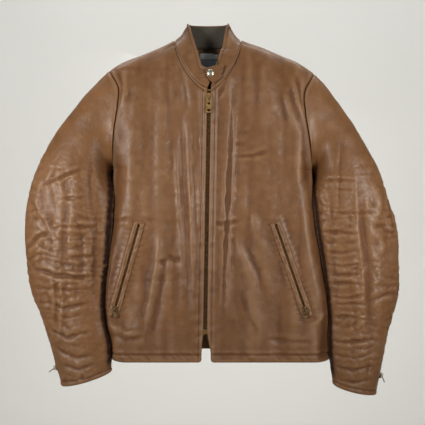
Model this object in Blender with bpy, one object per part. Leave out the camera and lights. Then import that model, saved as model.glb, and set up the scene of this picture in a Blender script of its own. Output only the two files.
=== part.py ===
"""Leather riding jacket with a band collar, zipped up and hanging on a hanger.

Metres, +Z up. The front faces -Y, the wearer's right side is at -X. The origin is between the shoulders,
at the height where the neck meets the shoulder seams, which is where a hanger carries the jacket.
Each leather, lining and facing piece is a sheet with a real thickness, cut along the jacket's own seams.
"""

import math

import bmesh
import bpy
import numpy as np
from mathutils import Matrix, Vector

RIGHT, LEFT = -1, 1
SIDES = {RIGHT: "right", LEFT: "left"}

# Body of the jacket
HEM_Z = -0.648
BACK_HEM_LIFT = 0.012
SEAM_GAP = 0.0004
FRONT_TOP_Y, FRONT_HEM_Y = -0.046, -0.058
BACK_Y = 0.055
SIDE_Y, RIDGE_Y = 0.030, 0.006
FRONT_SIDE_ROUND, BACK_SIDE_ROUND = 0.040, 0.030
FRONT_TOP_ROUND, BACK_TOP_ROUND = 0.120, 0.070
ARMPIT_SHARE = 0.66
ARMHOLE_ROUND = 0.075
ARMHOLE_DEPTH = 0.86
ROWS_BELOW, ROWS_ABOVE = 8, 10
NECK_STEPS, SIDE_STEPS = 6, 10

# Neck
NECK_HALF_WIDTH = 0.0677
NECK_TOP_Z = 0.0041
NECK_DROP = 0.1036
NECK_POWER = 1.5
BACK_NECK_DROP = 0.006

# Layers, as depths below the outer face
LEATHER = (0.0, 0.0018)
POCKET_BAG = (0.0044, 0.0066)
LINING = (0.0095, 0.0108)
SLEEVE_LINING = (0.0052, 0.0064)
COLLAR_LINING = (0.0023, 0.0034)
FACING_REACH = 0.48
HEM_FACING_SHARE = 0.072

# Front zip: a straight line down the centre front
ZIP_TOP = (0.0025, -0.106)
ZIP_BOTTOM = (-0.0055, -0.582)
ZIP_EDGE_GAP = 0.0042
HEM_PARTING = {RIGHT: 0.003, LEFT: 0.009}
SLIDER_TOP_DROP = 0.012

# Pocket slits, as the distance from the centre and the height, and cuff zips
POCKET_TOP_Z, POCKET_BOTTOM_Z = -0.3734, -0.5536
POCKET_X = {RIGHT: (0.1373, 0.1885), LEFT: (0.1352, 0.1975)}
POCKET_FLAT = (0.024, 0.062)
POCKET_CLEAR = (0.006, 0.015)
CUFF_ZIP_STATION = 10.05
CUFF_SLIDER_RISE = 0.036
CUFF_PULLER_REST = {RIGHT: 70, LEFT: 35}

# Side seam and armhole edge of the body, as (height, x), from the hem to the shoulder tip
BODY_EDGE = {
    RIGHT: [
        (-0.660, -0.2015), (-0.610, -0.2040), (-0.556, -0.2140), (-0.506, -0.2145), (-0.446, -0.2085),
        (-0.385, -0.2035), (-0.325, -0.1990), (-0.2595, -0.1950), (-0.180, -0.1890), (-0.130, -0.1820),
        (-0.095, -0.1820), (-0.0594, -0.2030),
    ],
    LEFT: [
        (-0.660, 0.2525), (-0.600, 0.2525), (-0.545, 0.2505), (-0.490, 0.2450), (-0.440, 0.2380),
        (-0.385, 0.2280), (-0.330, 0.2205), (-0.2636, 0.2140), (-0.190, 0.2030), (-0.145, 0.1960),
        (-0.105, 0.1960), (-0.0655, 0.2180),
    ],
}

# Line of the shoulders over the hanger, as (x, height), carried on across the neck
SHOULDER_LINE = [
    (-0.205, -0.0605), (-0.178, -0.0430), (-0.137, -0.0266), (-0.098, -0.0102), (-0.0677, 0.0041),
    (0.0, 0.0300), (0.0677, 0.0041), (0.110, -0.0102), (0.149, -0.0266), (0.186, -0.0430),
    (0.211, -0.0594), (0.220, -0.0668),
]

# Sleeve cross-sections from the armhole to the cuff: the inner edge (x, y, height), the outer edge
# (x, y, height) and half the thickness
SLEEVE = {
    RIGHT: [
        ((-0.1955, 0.030, -0.2595), (-0.2035, 0.006, -0.0594), 0.046),
        ((-0.1965, 0.026, -0.2640), (-0.2300, 0.005, -0.0845), 0.046),
        ((-0.1970, 0.017, -0.2700), (-0.2660, 0.003, -0.1245), 0.046),
        ((-0.1965, 0.003, -0.2790), (-0.3090, 0.000, -0.1850), 0.045),
        ((-0.1945, -0.013, -0.2960), (-0.3455, -0.005, -0.2520), 0.042),
        ((-0.1925, -0.025, -0.3260), (-0.3670, -0.010, -0.3200), 0.037),
        ((-0.1965, -0.030, -0.3850), (-0.3730, -0.012, -0.3850), 0.034),
        ((-0.2015, -0.030, -0.4460), (-0.3690, -0.012, -0.4460), 0.033),
        ((-0.2075, -0.030, -0.5060), (-0.3600, -0.012, -0.5080), 0.032),
        ((-0.2075, -0.030, -0.5560), (-0.3375, -0.012, -0.5650), 0.030),
        ((-0.1965, -0.030, -0.6100), (-0.3190, -0.014, -0.6220), 0.028),
        ((-0.1935, -0.030, -0.6670), (-0.2980, -0.016, -0.6990), 0.025),
    ],
    LEFT: [
        ((0.2145, 0.030, -0.2636), (0.2185, 0.006, -0.0655), 0.046),
        ((0.2155, 0.026, -0.2680), (0.2400, 0.005, -0.0905), 0.046),
        ((0.2160, 0.017, -0.2740), (0.2715, 0.003, -0.1340), 0.046),
        ((0.2155, 0.003, -0.2830), (0.3080, 0.000, -0.1860), 0.045),
        ((0.2140, -0.013, -0.3000), (0.3430, -0.005, -0.2500), 0.042),
        ((0.2140, -0.025, -0.3290), (0.3685, -0.010, -0.3200), 0.037),
        ((0.2210, -0.030, -0.3850), (0.3860, -0.012, -0.3850), 0.034),
        ((0.2315, -0.030, -0.4460), (0.3885, -0.012, -0.4460), 0.033),
        ((0.2395, -0.030, -0.5060), (0.3895, -0.012, -0.5060), 0.032),
        ((0.2440, -0.030, -0.5600), (0.3755, -0.012, -0.5660), 0.030),
        ((0.2450, -0.030, -0.6250), (0.3590, -0.014, -0.6350), 0.028),
        ((0.2510, -0.030, -0.6930), (0.3420, -0.016, -0.7155), 0.025),
    ],
}
ELBOW_STATION = 6
CUFF_STATION = 11
CUFF_SAG = 0.007
ELBOW_GAP = 0.0006

# Top edge of the collar: from each front end to the side of the neck, then on to the centre back
COLLAR_FRONT_TOP = {
    RIGHT: [
        (0.0165, -0.0405, -0.0590), (0.0020, -0.0415, -0.0600), (-0.0120, -0.0385, -0.0530),
        (-0.0163, -0.0330, -0.0385), (-0.0210, -0.0250, -0.0210), (-0.0285, -0.0140, 0.0020),
        (-0.0365, 0.0000, 0.0290),
    ],
    LEFT: [
        (0.0205, -0.0400, -0.0510), (0.0203, -0.0375, -0.0440), (0.0208, -0.0345, -0.0375),
        (0.0228, -0.0300, -0.0300), (0.0262, -0.0235, -0.0190), (0.0310, -0.0150, -0.0035),
        (0.0362, 0.0000, 0.0280),
    ],
}
COLLAR_BACK_TOP = [
    (0.0407, 0.0080, 0.0375), (0.0397, 0.0190, 0.0395), (0.0345, 0.0290, 0.0400), (0.0260, 0.0360, 0.0405),
    (0.0140, 0.0405, 0.0410), (0.0, 0.0420, 0.0410),
]
COLLAR_LIFT = 0.0012
COLLAR_BULGE = 0.0015

# Snap tab across the collar's ends, seen from the front as (x, height), and its place in front of them
TAB_OUTLINE = [
    (-0.0047, -0.0620), (0.0190, -0.0545), (0.0332, -0.0540), (0.0272, -0.0800), (0.0102, -0.0935),
    (-0.0043, -0.0750),
]
TAB_PLANE = ((0.0, -0.0466, -0.0985), (0.0, -0.0418, -0.0600))
TAB_OUT = (0.0050, 0.0066)
SNAP = (0.0054, -0.0713)
SNAP_RADIUS = 0.0075
LABEL_SIZE = (0.038, 0.040)
LABEL_TOP = (0.002, -0.0170)


# ---------------------------------------------------------------- curves and surfaces


def smooth(points):
    """A smooth function through (position, value) points, whose values may be vectors."""
    at = np.array([p[0] for p in points], float)
    values = np.array([p[1] for p in points], float)
    slopes = np.gradient(values, at, axis=0)

    def value(x):
        x = float(np.clip(x, at[0], at[-1]))
        i = int(np.clip(np.searchsorted(at, x) - 1, 0, len(at) - 2))
        h = at[i + 1] - at[i]
        t = (x - at[i]) / h
        return (
            (2 * t**3 - 3 * t**2 + 1) * values[i]
            + (t**3 - 2 * t**2 + t) * h * slopes[i]
            + (3 * t**2 - 2 * t**3) * values[i + 1]
            + (t**3 - t**2) * h * slopes[i + 1]
        )

    return value


def rise(distance, radius, power=2.0):
    """Height of a rounded edge: 0 at the edge, where it stands square, and 1 from radius inwards."""
    share = min(max(distance / radius, 0.0), 1.0)
    return (1 - (1 - share) ** power) ** (1 / power)


def ease(share):
    share = min(max(share, 0.0), 1.0)
    return share * share * (3 - 2 * share)


EDGE = {side: smooth(points) for side, points in BODY_EDGE.items()}
RIDGE = smooth(SHOULDER_LINE)
TIP_Z = {side: points[-1][0] for side, points in BODY_EDGE.items()}


def armpit_z(side):
    return HEM_Z + ARMPIT_SHARE * (TIP_Z[side] - HEM_Z)


def zip_x(z):
    share = (z - ZIP_TOP[1]) / (ZIP_BOTTOM[1] - ZIP_TOP[1])
    return ZIP_TOP[0] + share * (ZIP_BOTTOM[0] - ZIP_TOP[0])


def front_y(z):
    share = (z - ZIP_TOP[1]) / (HEM_Z - ZIP_TOP[1])
    return FRONT_TOP_Y + max(share, 0.0) * (FRONT_HEM_Y - FRONT_TOP_Y)


def neckline_z(x, face):
    share = min(abs(x) / NECK_HALF_WIDTH, 1.0)
    if face == "back":
        return NECK_TOP_Z - BACK_NECK_DROP * math.sqrt(1 - share**2)
    return NECK_TOP_Z - NECK_DROP * (1 - share**NECK_POWER) ** (1 / NECK_POWER)


def pocket_line(side):
    """The pocket slit's ends on the face of the front."""
    heights = (POCKET_TOP_Z, POCKET_BOTTOM_Z)
    xs = [side * x for x in POCKET_X[side]]
    return [Vector((x, rounded_y(side, "front", x, z, 0.0), z)) for x, z in zip(xs, heights)]


def rounded_y(side, face, x, z, inset):
    """How far forward or back the body's outer face lies at (x, z), or a face that much further in."""
    edge = EDGE[side](z) - side * inset
    low, tip = armpit_z(side), TIP_Z[side]
    opened = ARMHOLE_DEPTH * rise(z - low, ARMHOLE_ROUND) if z > low else 0.0
    front = face == "front"
    across = rise(abs(edge - x), FRONT_SIDE_ROUND if front else BACK_SIDE_ROUND)
    across = opened + (1 - opened) * across
    up = rise(RIDGE(x) - inset - z, FRONT_TOP_ROUND if front else BACK_TOP_ROUND)
    middle = SIDE_Y + (RIDGE_Y - SIDE_Y) * ease((z - low) / (tip - low))
    depth = front_y(z) + inset if front else BACK_Y - inset
    toward = -1 if front else 1
    return middle + (depth - middle) * across * up + toward * SEAM_GAP / 2


POCKET_LINE = {side: pocket_line(side) for side in SIDES}


def body_y(side, face, x, z, inset=0.0):
    """The same as rounded_y, with the front made flat beside each pocket slit, which is straight."""
    y = rounded_y(side, face, x, z, inset)
    if face == "back":
        return y
    top, bottom = POCKET_LINE[side]
    line = Vector((bottom.x - top.x, bottom.z - top.z))
    at = Vector((x - top.x, z - top.z))
    share = min(max(at.dot(line) / line.length_squared, 0.0), 1.0)
    away = (at - line * share).length
    weight = 1 - ease((away - POCKET_FLAT[0]) / (POCKET_FLAT[1] - POCKET_FLAT[0]))
    weight *= ease((abs(EDGE[side](z) - x) - POCKET_CLEAR[0]) / (POCKET_CLEAR[1] - POCKET_CLEAR[0]))
    return y + weight * (top.y + share * (bottom.y - top.y) + inset - y)


def body_top_z(x, face, inset):
    top = neckline_z(x, face) if abs(x) < NECK_HALF_WIDTH else RIDGE(x)
    return top - inset


def front_gap(side, z):
    """From the zip's line to each front's edge: even along the zip, and parted below it."""
    return ZIP_EDGE_GAP + HEM_PARTING[side] * ease((ZIP_BOTTOM[1] - z) / 0.055)


def body_point(side, face, u, v, inset=0.0):
    """A point of the body: u is 0 at the centre line, 1 below the neck point and 2 at the side, and v runs
    from the hem to the top."""
    z = HEM_Z
    neck = side * NECK_HALF_WIDTH
    for _ in range(12):
        start = zip_x(z) + side * front_gap(side, z) if face == "front" else 0.0
        if u <= 1:
            x = start + (neck - start) * u
        else:
            x = neck + (EDGE[side](z) - side * inset - neck) * (u - 1)
        hem = HEM_Z + (BACK_HEM_LIFT * (1 - (u / 2) ** 4) if face == "back" else 0.0)
        z = hem + v * (body_top_z(x, face, inset) - hem)
    return Vector((x, body_y(side, face, x, z, inset), z))


# ---------------------------------------------------------------- sheets


def normals_of(grid, closed=False):
    """Unit normals of a grid of points."""
    points = np.array([[list(p) for p in row] for row in grid])
    down = np.gradient(points, axis=0)
    if closed:
        along = (np.roll(points, -1, axis=1) - np.roll(points, 1, axis=1)) / 2
    else:
        along = np.gradient(points, axis=1)
    found = np.cross(down, along)
    found /= np.maximum(np.linalg.norm(found, axis=2, keepdims=True), 1e-12)
    return [[Vector(n) for n in row] for row in found]


def facing_out(normals, grid, centres):
    """The normals, turned round if they point at the centre of each row instead of away from it."""
    total = sum(
        n.dot(p - c) for row, points, c in zip(normals, grid, centres) for n, p in zip(row, points)
    )
    return [[n if total > 0 else -n for n in row] for row in normals]


def without(normal, axis):
    flat = normal.copy()
    flat[axis] = 0.0
    return flat.normalized()


def layer(grid, normals, depth):
    return [[p - n * depth for p, n in zip(row, ns)] for row, ns in zip(grid, normals)]


def make_object(name, bm, material):
    bmesh.ops.recalc_face_normals(bm, faces=bm.faces)
    mesh = bpy.data.meshes.new(name)
    bm.to_mesh(mesh)
    bm.free()
    made = bpy.data.objects.new(name, mesh)
    bpy.context.scene.collection.objects.link(made)
    mesh.materials.append(material)
    mesh.shade_smooth()
    mesh.set_sharp_from_angle(angle=math.radians(35))
    return made


def sheet(name, outer, inner, material, closed=False):
    """A closed sheet between two grids of points: a panel, or a tube where the grid closes on itself."""
    bm = bmesh.new()
    faces = [[[bm.verts.new(p) for p in row] for row in grid] for grid in (outer, inner)]
    rows, columns = len(outer), len(outer[0])
    wrap = columns if closed else columns - 1
    for i in range(rows - 1):
        for j in range(wrap):
            k = (j + 1) % columns
            for grid in faces:
                bm.faces.new((grid[i][j], grid[i][k], grid[i + 1][k], grid[i + 1][j]))
    a, b = faces
    for i in (0, rows - 1):
        for j in range(wrap):
            k = (j + 1) % columns
            bm.faces.new((a[i][j], a[i][k], b[i][k], b[i][j]))
    if not closed:
        for j in (0, columns - 1):
            for i in range(rows - 1):
                bm.faces.new((a[i][j], a[i + 1][j], b[i + 1][j], b[i][j]))
    return make_object(name, bm, material)


def half_turn_steps(count):
    """Shares from 0 to 1 that crowd towards both ends."""
    return [(1 - math.cos(math.pi * i / count)) / 2 for i in range(count + 1)]


def body_rows():
    """Shares of the height from the hem to the armpit, then up the armhole to the top."""
    low = [ARMPIT_SHARE * i / ROWS_BELOW for i in range(ROWS_BELOW)]
    return low + [ARMPIT_SHARE + (1 - ARMPIT_SHARE) * t for t in half_turn_steps(ROWS_ABOVE)]


def body_columns():
    """Columns from the centre to the side, closer together towards the neck point and the side."""
    inner = [math.sin(math.pi / 2 * i / NECK_STEPS) for i in range(NECK_STEPS)]
    return inner + [2 - (1 - i / SIDE_STEPS) ** 1.5 for i in range(SIDE_STEPS + 1)]


def body_grid(side, face, columns, rows, inset):
    return [[body_point(side, face, u, v, inset) for u in columns] for v in rows]


def body_panel(name, side, face, depths, material, columns, rows):
    grids = [body_grid(side, face, columns, rows, depth) for depth in depths]
    return sheet(name, *grids, material)


def back_panel(name, depths, material, columns, rows):
    """Both halves of the back in one piece."""
    grids = []
    for depth in depths:
        left = body_grid(LEFT, "back", columns, rows, depth)
        right = body_grid(RIGHT, "back", columns, rows, depth)
        grids.append([r[:0:-1] + l for r, l in zip(right, left)])
    return sheet(name, *grids, material)


# ---------------------------------------------------------------- sleeves


def armhole_point(side, face, share, depth=0.0):
    """A point of the sleeve's side of the armhole: share runs from the armpit up to the shoulder tip."""
    v = ARMPIT_SHARE + (1 - ARMPIT_SHARE) * (1 - math.cos(math.pi * share)) / 2
    return body_point(side, face, 2.0, v, depth) + Vector((side * SEAM_GAP, 0, 0))


def section_point(side, station, face, share):
    """A point of a plain cross-section: share runs from its inner edge to its outer edge."""
    inner, outer, half = SECTION[side](station)[0:3], SECTION[side](station)[3:6], SECTION[side](station)[6]
    toward = -1 if face == "front" else 1
    across = (1 - math.cos(math.pi * share)) / 2
    bulge = math.sin(math.pi * share) ** 0.9
    sag = CUFF_SAG * math.sin(math.pi * share) * ease(station - CUFF_STATION + 1)
    return Vector(inner).lerp(Vector(outer), across) + Vector(
        (0, toward * (half * bulge + SEAM_GAP / 2), -sag)
    )


SECTION = {
    side: smooth([(i, (*inner, *outer, half)) for i, (inner, outer, half) in enumerate(rows)])
    for side, rows in SLEEVE.items()
}


def sleeve_point(side, station, face, share):
    """A point of the sleeve, which starts at the armhole and settles into its plain cross-sections."""
    point = section_point(side, station, face, share)
    start = armhole_point(side, face, share) - section_point(side, 0, face, share)
    return point + start * (1 - ease(station / 2.0))


def sleeve_ring(side, station, shares):
    """The front from the inner to the outer edge, then the back on the way home."""
    front = [sleeve_point(side, station, "front", w) for w in shares]
    return front + [sleeve_point(side, station, "back", w) for w in reversed(shares)]


def sleeve_grids(side, stations, shares, depths, drop=0.0):
    """Outer and inner rings of the sleeve, square at its seams and at the elbow."""
    grid = [sleeve_ring(side, s, shares) for s in stations]
    grid[0] = [p - Vector((0, 0, drop)) for p in grid[0]]
    centres = [sum(ring, Vector()) / len(ring) for ring in grid]
    normals = facing_out(normals_of(grid, closed=True), grid, centres)
    last = len(shares) - 1
    for ring, row, station in zip(grid, normals, stations):
        along = ((ring[last] + ring[last + 1]) - (ring[0] + ring[-1])).normalized()
        row[0] = row[-1] = without(-along, 1)
        row[last] = row[last + 1] = without(along, 1)
        if station == ELBOW_STATION:
            row[:] = [without(n, 2) for n in row]
    grids = [layer(grid, normals, depth) for depth in depths]
    if stations[0] == 0:
        for rings, depth in zip(grids, depths):
            front = [armhole_point(side, "front", w, depth) for w in shares]
            rings[0] = front + [armhole_point(side, "back", w, depth) for w in reversed(shares)]
    return grids


def half_sleeve(name, side, stations, shares, face, material, drop=0.0):
    part = slice(0, len(shares)) if face == "front" else slice(len(shares), None)
    grids = sleeve_grids(side, stations, shares, LEATHER, drop)
    return sheet(name, *([ring[part] for ring in grid] for grid in grids), material)


def sleeve_tube(name, side, stations, shares, depths, material, drop=0.0):
    grids = sleeve_grids(side, stations, shares, depths, drop)
    last = len(shares) - 1
    for grid in grids:
        for ring in grid:
            ring[0] = (ring[0] + ring[-1]) / 2
            ring[last] = (ring[last] + ring[last + 1]) / 2
            del ring[-1], ring[last + 1]
    return sheet(name, *grids, material, closed=True)


# ---------------------------------------------------------------- collar


def neck_seam():
    """The neckline from the right front end round the back to the left front end."""
    neck = body_columns()[: NECK_STEPS + 1]
    fronts = {side: [body_point(side, "front", u, 1.0) for u in neck] for side in SIDES}
    backs = {side: [body_point(side, "back", u, 1.0) for u in neck[:-1]] for side in SIDES}
    return fronts[RIGHT] + backs[RIGHT][::-1] + backs[LEFT][1:] + fronts[LEFT][::-1]


def collar_top():
    right_back = [Vector((-x, y, z)) for x, y, z in COLLAR_BACK_TOP]
    left_back = [Vector(p) for p in COLLAR_BACK_TOP[-2::-1]]
    left_front = [Vector(p) for p in reversed(COLLAR_FRONT_TOP[LEFT])]
    return [Vector(p) for p in COLLAR_FRONT_TOP[RIGHT]] + right_back + left_back + left_front


def collar_grid(rows=4):
    base, top = neck_seam(), collar_top()
    grid = []
    for r in range(rows + 1):
        share = r / rows
        ring = []
        for low, high in zip(base, top):
            start = low + (high - low).normalized() * COLLAR_LIFT
            away = Vector((start.x, start.y - 0.005, 0)).normalized()
            ring.append(start.lerp(high, share) + away * COLLAR_BULGE * math.sin(math.pi * share))
        grid.append(ring)
    centres = [Vector((0.0, 0.005, ring[0].z)) for ring in grid]
    return grid, facing_out(normals_of(grid), grid, centres)


def collar(name, depths, material, trim=0):
    grid, normals = collar_grid()
    if trim:
        grid = [ring[trim:-trim] for ring in grid]
        normals = [ring[trim:-trim] for ring in normals]
    return sheet(name, *(layer(grid, normals, depth) for depth in depths), material)


def tab_frame():
    """A point on the front of the collar below the tab, with the axes up and out."""
    low, high = (Vector(p) for p in TAB_PLANE)
    up = (high - low).normalized()
    return low, up, Vector((1, 0, 0)).cross(up)


def tab_point(x, z, out):
    low, up, normal = tab_frame()
    return low + Vector((x, 0, 0)) + up * ((z - low.z) / up.z) + normal * out


# ---------------------------------------------------------------- small hard parts


def material(name, colour, roughness, metallic=0.0):
    made = bpy.data.materials.new(name)
    made.use_nodes = True
    shader = made.node_tree.nodes["Principled BSDF"]
    shader.inputs["Base Color"].default_value = (*colour, 1)
    shader.inputs["Roughness"].default_value = roughness
    shader.inputs["Metallic"].default_value = metallic
    return made


def box_mesh(bm, low, high):
    corners = [
        bm.verts.new((x, y, z)) for x in (low[0], high[0]) for y in (low[1], high[1]) for z in (low[2], high[2])
    ]
    for ids in ((0, 1, 3, 2), (4, 6, 7, 5), (0, 4, 5, 1), (2, 3, 7, 6), (0, 2, 6, 4), (1, 5, 7, 3)):
        bm.faces.new([corners[i] for i in ids])


def box(name, low, high, made_of, place=None):
    bm = bmesh.new()
    box_mesh(bm, low, high)
    made = make_object(name, bm, made_of)
    if place is not None:
        made.matrix_world = place
    return made


def join(target, others, operation="UNION"):
    """Adds or cuts other solids with Booleans, and keeps them as hidden guides."""
    for other in others:
        other.hide_render = True
        other.display_type = "WIRE"
        modifier = target.modifiers.new(f"{operation.lower()} {other.name}", "BOOLEAN")
        modifier.operation = operation
        modifier.object = other
        modifier.solver = "EXACT"
    return target


def zip_frame(top, down, normal):
    """A zip's own axes: X across it, Y into the jacket, Z up along it."""
    up = -down.normalized()
    inward = (-normal - up * (-normal).dot(up)).normalized()
    across = inward.cross(up)
    frame = Matrix((across, inward, up)).transposed().to_4x4()
    frame.translation = top
    return frame


def plate_with_holes(name, outline, holes, y_range, made_of, place):
    """A flat plate in the XZ plane with holes through it."""
    curve = bpy.data.curves.new(name, "CURVE")
    curve.dimensions = "2D"
    curve.fill_mode = "BOTH"
    curve.extrude = (y_range[1] - y_range[0]) / 2
    for loop in [outline] + holes:
        spline = curve.splines.new("POLY")
        spline.points.add(len(loop) - 1)
        for point, (x, z) in zip(spline.points, loop):
            point.co = (x, z, 0, 1)
        spline.use_cyclic_u = True
    curve.materials.append(made_of)
    made = bpy.data.objects.new(name, curve)
    bpy.context.scene.collection.objects.link(made)
    stand = Matrix.Rotation(math.radians(90), 4, "X")
    middle = Matrix.Translation((0, (y_range[0] + y_range[1]) / 2, 0))
    made.matrix_world = place @ middle @ stand
    return made


def rounded(half_width, low, high, radius, steps=4):
    """Outline of a plate with round corners: half its width and its ends."""
    centres = [
        (half_width - radius, high - radius, 0), (-half_width + radius, high - radius, 90),
        (-half_width + radius, low + radius, 180), (half_width - radius, low + radius, 270),
    ]
    points = []
    for x, z, start in centres:
        for i in range(steps + 1):
            a = math.radians(start + 90 * i / steps)
            points.append((x + radius * math.cos(a), z + radius * math.sin(a)))
    return points


BRIDGE_REACH = 0.0030
PULLER_THICKNESS = 0.0014


def slider(name, place, plate_half, length, plate_y, stem, made_of, back_plate=None):
    """A zip slider: a plate over the chain, a stem into it and a bridge that holds the puller."""
    half = length / 2
    face = plate_y[0]
    reach = face - BRIDGE_REACH
    bridge = 0.0009
    solids = {
        "stem": ((-stem[0], plate_y[1] - 0.0003, -half), (stem[0], stem[1], half * 0.2)),
        "post_low": ((-bridge, reach - 0.0006, -0.0042), (bridge, face + 0.0004, -0.0032)),
        "post_high": ((-bridge, reach - 0.0007, 0.0032), (bridge, face + 0.0003, 0.0042)),
        "bar": ((-bridge - 0.0001, reach - 0.0009, -0.0043), (bridge + 0.0001, reach, 0.0043)),
    }
    if back_plate is not None:
        solids["back"] = ((-plate_half, back_plate[0], -half), (plate_half, back_plate[1], half))
    made = box(name, (-plate_half, plate_y[0], -half), (plate_half, plate_y[1], half), made_of, place)
    return join(made, [box(f"{name}_{part}", *span, made_of, place) for part, span in solids.items()])


def puller(name, place, width, length, plate_face, made_of, rest=0, tail=True):
    """A flat puller whose top bar hangs in the slider's bridge. Its origin is on the bar's axis."""
    hinge = place @ Matrix.Translation((0, plate_face - BRIDGE_REACH / 2, 0))
    hinge = hinge @ Matrix.Rotation(math.radians(-rest), 4, "X")
    half = width / 2
    holes = [rounded(min(half - 0.0015, 0.0026), -0.0062, -0.0009, 0.0006, 2)]
    if tail:
        holes.append(rounded(half * 0.36, -length * 0.50, -length * 0.36, 0.0008, 2))
        holes.append(rounded(half * 0.55, -length * 0.90, -length * 0.78, 0.0010, 2))
    outline = rounded(half, -length, 0.0007, min(0.0022, half * 0.6), 3)
    thickness = (-PULLER_THICKNESS / 2, PULLER_THICKNESS / 2)
    return plate_with_holes(name, outline, holes, thickness, made_of, hinge)


def dome(name, radius, height, made_of, place, rings=4, around=20):
    """A round cap: flat below, domed above, standing out along -Y."""
    bm = bmesh.new()
    rows = [[bm.verts.new((radius * math.cos(a), 0, radius * math.sin(a))) for a in circle(around)]]
    for i in range(rings):
        turn = math.radians(90 * i / rings)
        r, y = radius * math.cos(turn), -height * (0.35 + 0.65 * math.sin(turn))
        rows.append([bm.verts.new((r * math.cos(a), y, r * math.sin(a))) for a in circle(around)])
    for low, high in zip(rows, rows[1:]):
        for j in range(around):
            k = (j + 1) % around
            bm.faces.new((low[j], low[k], high[k], high[j]))
    bm.faces.new(rows[0])
    bm.faces.new(rows[-1])
    made = make_object(name, bm, made_of)
    made.matrix_world = place
    return made


def circle(count):
    return [2 * math.pi * i / count for i in range(count)]


# ---------------------------------------------------------------- assemblies


def make_body(leather):
    columns, rows = body_columns(), body_rows()
    for side, word in SIDES.items():
        panel = body_panel(f"{word}_front", side, "front", LEATHER, leather, columns, rows)
        join(panel, [pocket_cutter(side)], "DIFFERENCE")
    back_panel("back", LEATHER, leather, columns, rows)


def make_linings(leather, lining):
    """Lining, with leather facings in the same layer along the hem and the zip."""
    columns = body_columns()
    outer = columns[NECK_STEPS::2]
    start = FACING_REACH + 0.030
    rows = [HEM_FACING_SHARE + 0.0025] + body_rows()[1::2]
    hem_rows = [0.001, HEM_FACING_SHARE]
    strip_rows = [0.001] + [i / 8 for i in range(1, 8)] + [0.965]
    for side, word in SIDES.items():
        body_panel(f"{word}_front_lining", side, "front", LINING, lining, [start] + outer, rows)
        body_panel(f"{word}_hem_facing", side, "front", LINING, leather, [start] + outer, hem_rows)
        strip = [0.035, FACING_REACH]
        body_panel(f"{word}_front_facing", side, "front", LINING, leather, strip, strip_rows)
    back_panel("back_lining", LINING, lining, [0.0, 0.5] + outer, rows)
    back_panel("back_hem_facing", LINING, leather, [0.0, 0.5] + outer, hem_rows)


def make_sleeves(leather, lining, tape, brass):
    upper = [0, 0.5, 1.0, 1.5, 2.0, 2.6, 3.2, 3.8, 4.4, 5.2, ELBOW_STATION]
    lower = [ELBOW_STATION, 6.8, 7.6, 8.4, 9.2, 9.8, 10.4, CUFF_STATION]
    inside = {"upper": upper, "forearm": [ELBOW_STATION, 7.0, 8.0, 9.0, 10.0, 10.85]}
    shares = [i / ROWS_ABOVE for i in range(ROWS_ABOVE + 1)]
    few = shares[::2]
    for side, word in SIDES.items():
        for part, stations, drop in (("upper", upper, 0.0), ("forearm", lower, ELBOW_GAP)):
            halves = [
                half_sleeve(f"{word}_{name}_sleeve_{part}", side, stations, shares, face, leather, drop)
                for name, face in (("top", "front"), ("under", "back"))
            ]
            sleeve_tube(f"{word}_sleeve_lining_{part}", side, inside[part], few, SLEEVE_LINING, lining, drop)
        frame, length = cuff_frame(side)
        for index, half in enumerate(halves):
            slot = (-0.0034, -0.010, -length - 0.03), (0.0034, 0.006, 0.0)
            join(half, [box(f"{word}_cuff_slot_{index}", *slot, leather, frame)], "DIFFERENCE")
        make_cuff_zip(side, word, tape, brass)


def cuff_frame(side):
    """The cuff zip's axes, at its upper end on the sleeve's outer edge, and its length."""
    ends = [
        (sleeve_point(side, s, "front", 1.0) + sleeve_point(side, s, "back", 1.0)) / 2
        for s in (CUFF_ZIP_STATION, CUFF_STATION)
    ]
    return zip_frame(ends[0], ends[1] - ends[0], Vector((side, 0, 0))), (ends[1] - ends[0]).length


def make_cuff_zip(side, word, tape, brass):
    frame, length = cuff_frame(side)
    strip = (-0.0042, 0.0033, -length + 0.002), (0.0042, 0.0040, -0.001)
    made = box(f"{word}_cuff_zip_tape", *strip, tape, frame)
    chain = (-0.0023, 0.0008, -length + 0.004), (0.0023, 0.0036, -0.003)
    join(made, [box(f"{word}_cuff_chain", *chain, tape, frame)])
    place = frame @ Matrix.Translation((0, 0, -length + CUFF_SLIDER_RISE))
    slider(f"{word}_cuff_slider", place, 0.0040, 0.011, (-0.0024, -0.0008), (0.0018, 0.0005), brass)
    rest = CUFF_PULLER_REST[side]
    puller(f"{word}_cuff_puller", upright(place), 0.0075, 0.015, -0.0024, brass, rest, tail=False)


def zip_place():
    """The front zip's axes, at its upper end, and its length."""
    top, bottom = (Vector((x, front_y(z), z)) for x, z in (ZIP_TOP, ZIP_BOTTOM))
    return zip_frame(top, bottom - top, Vector((0, -1, 0))), (bottom - top).length


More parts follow.
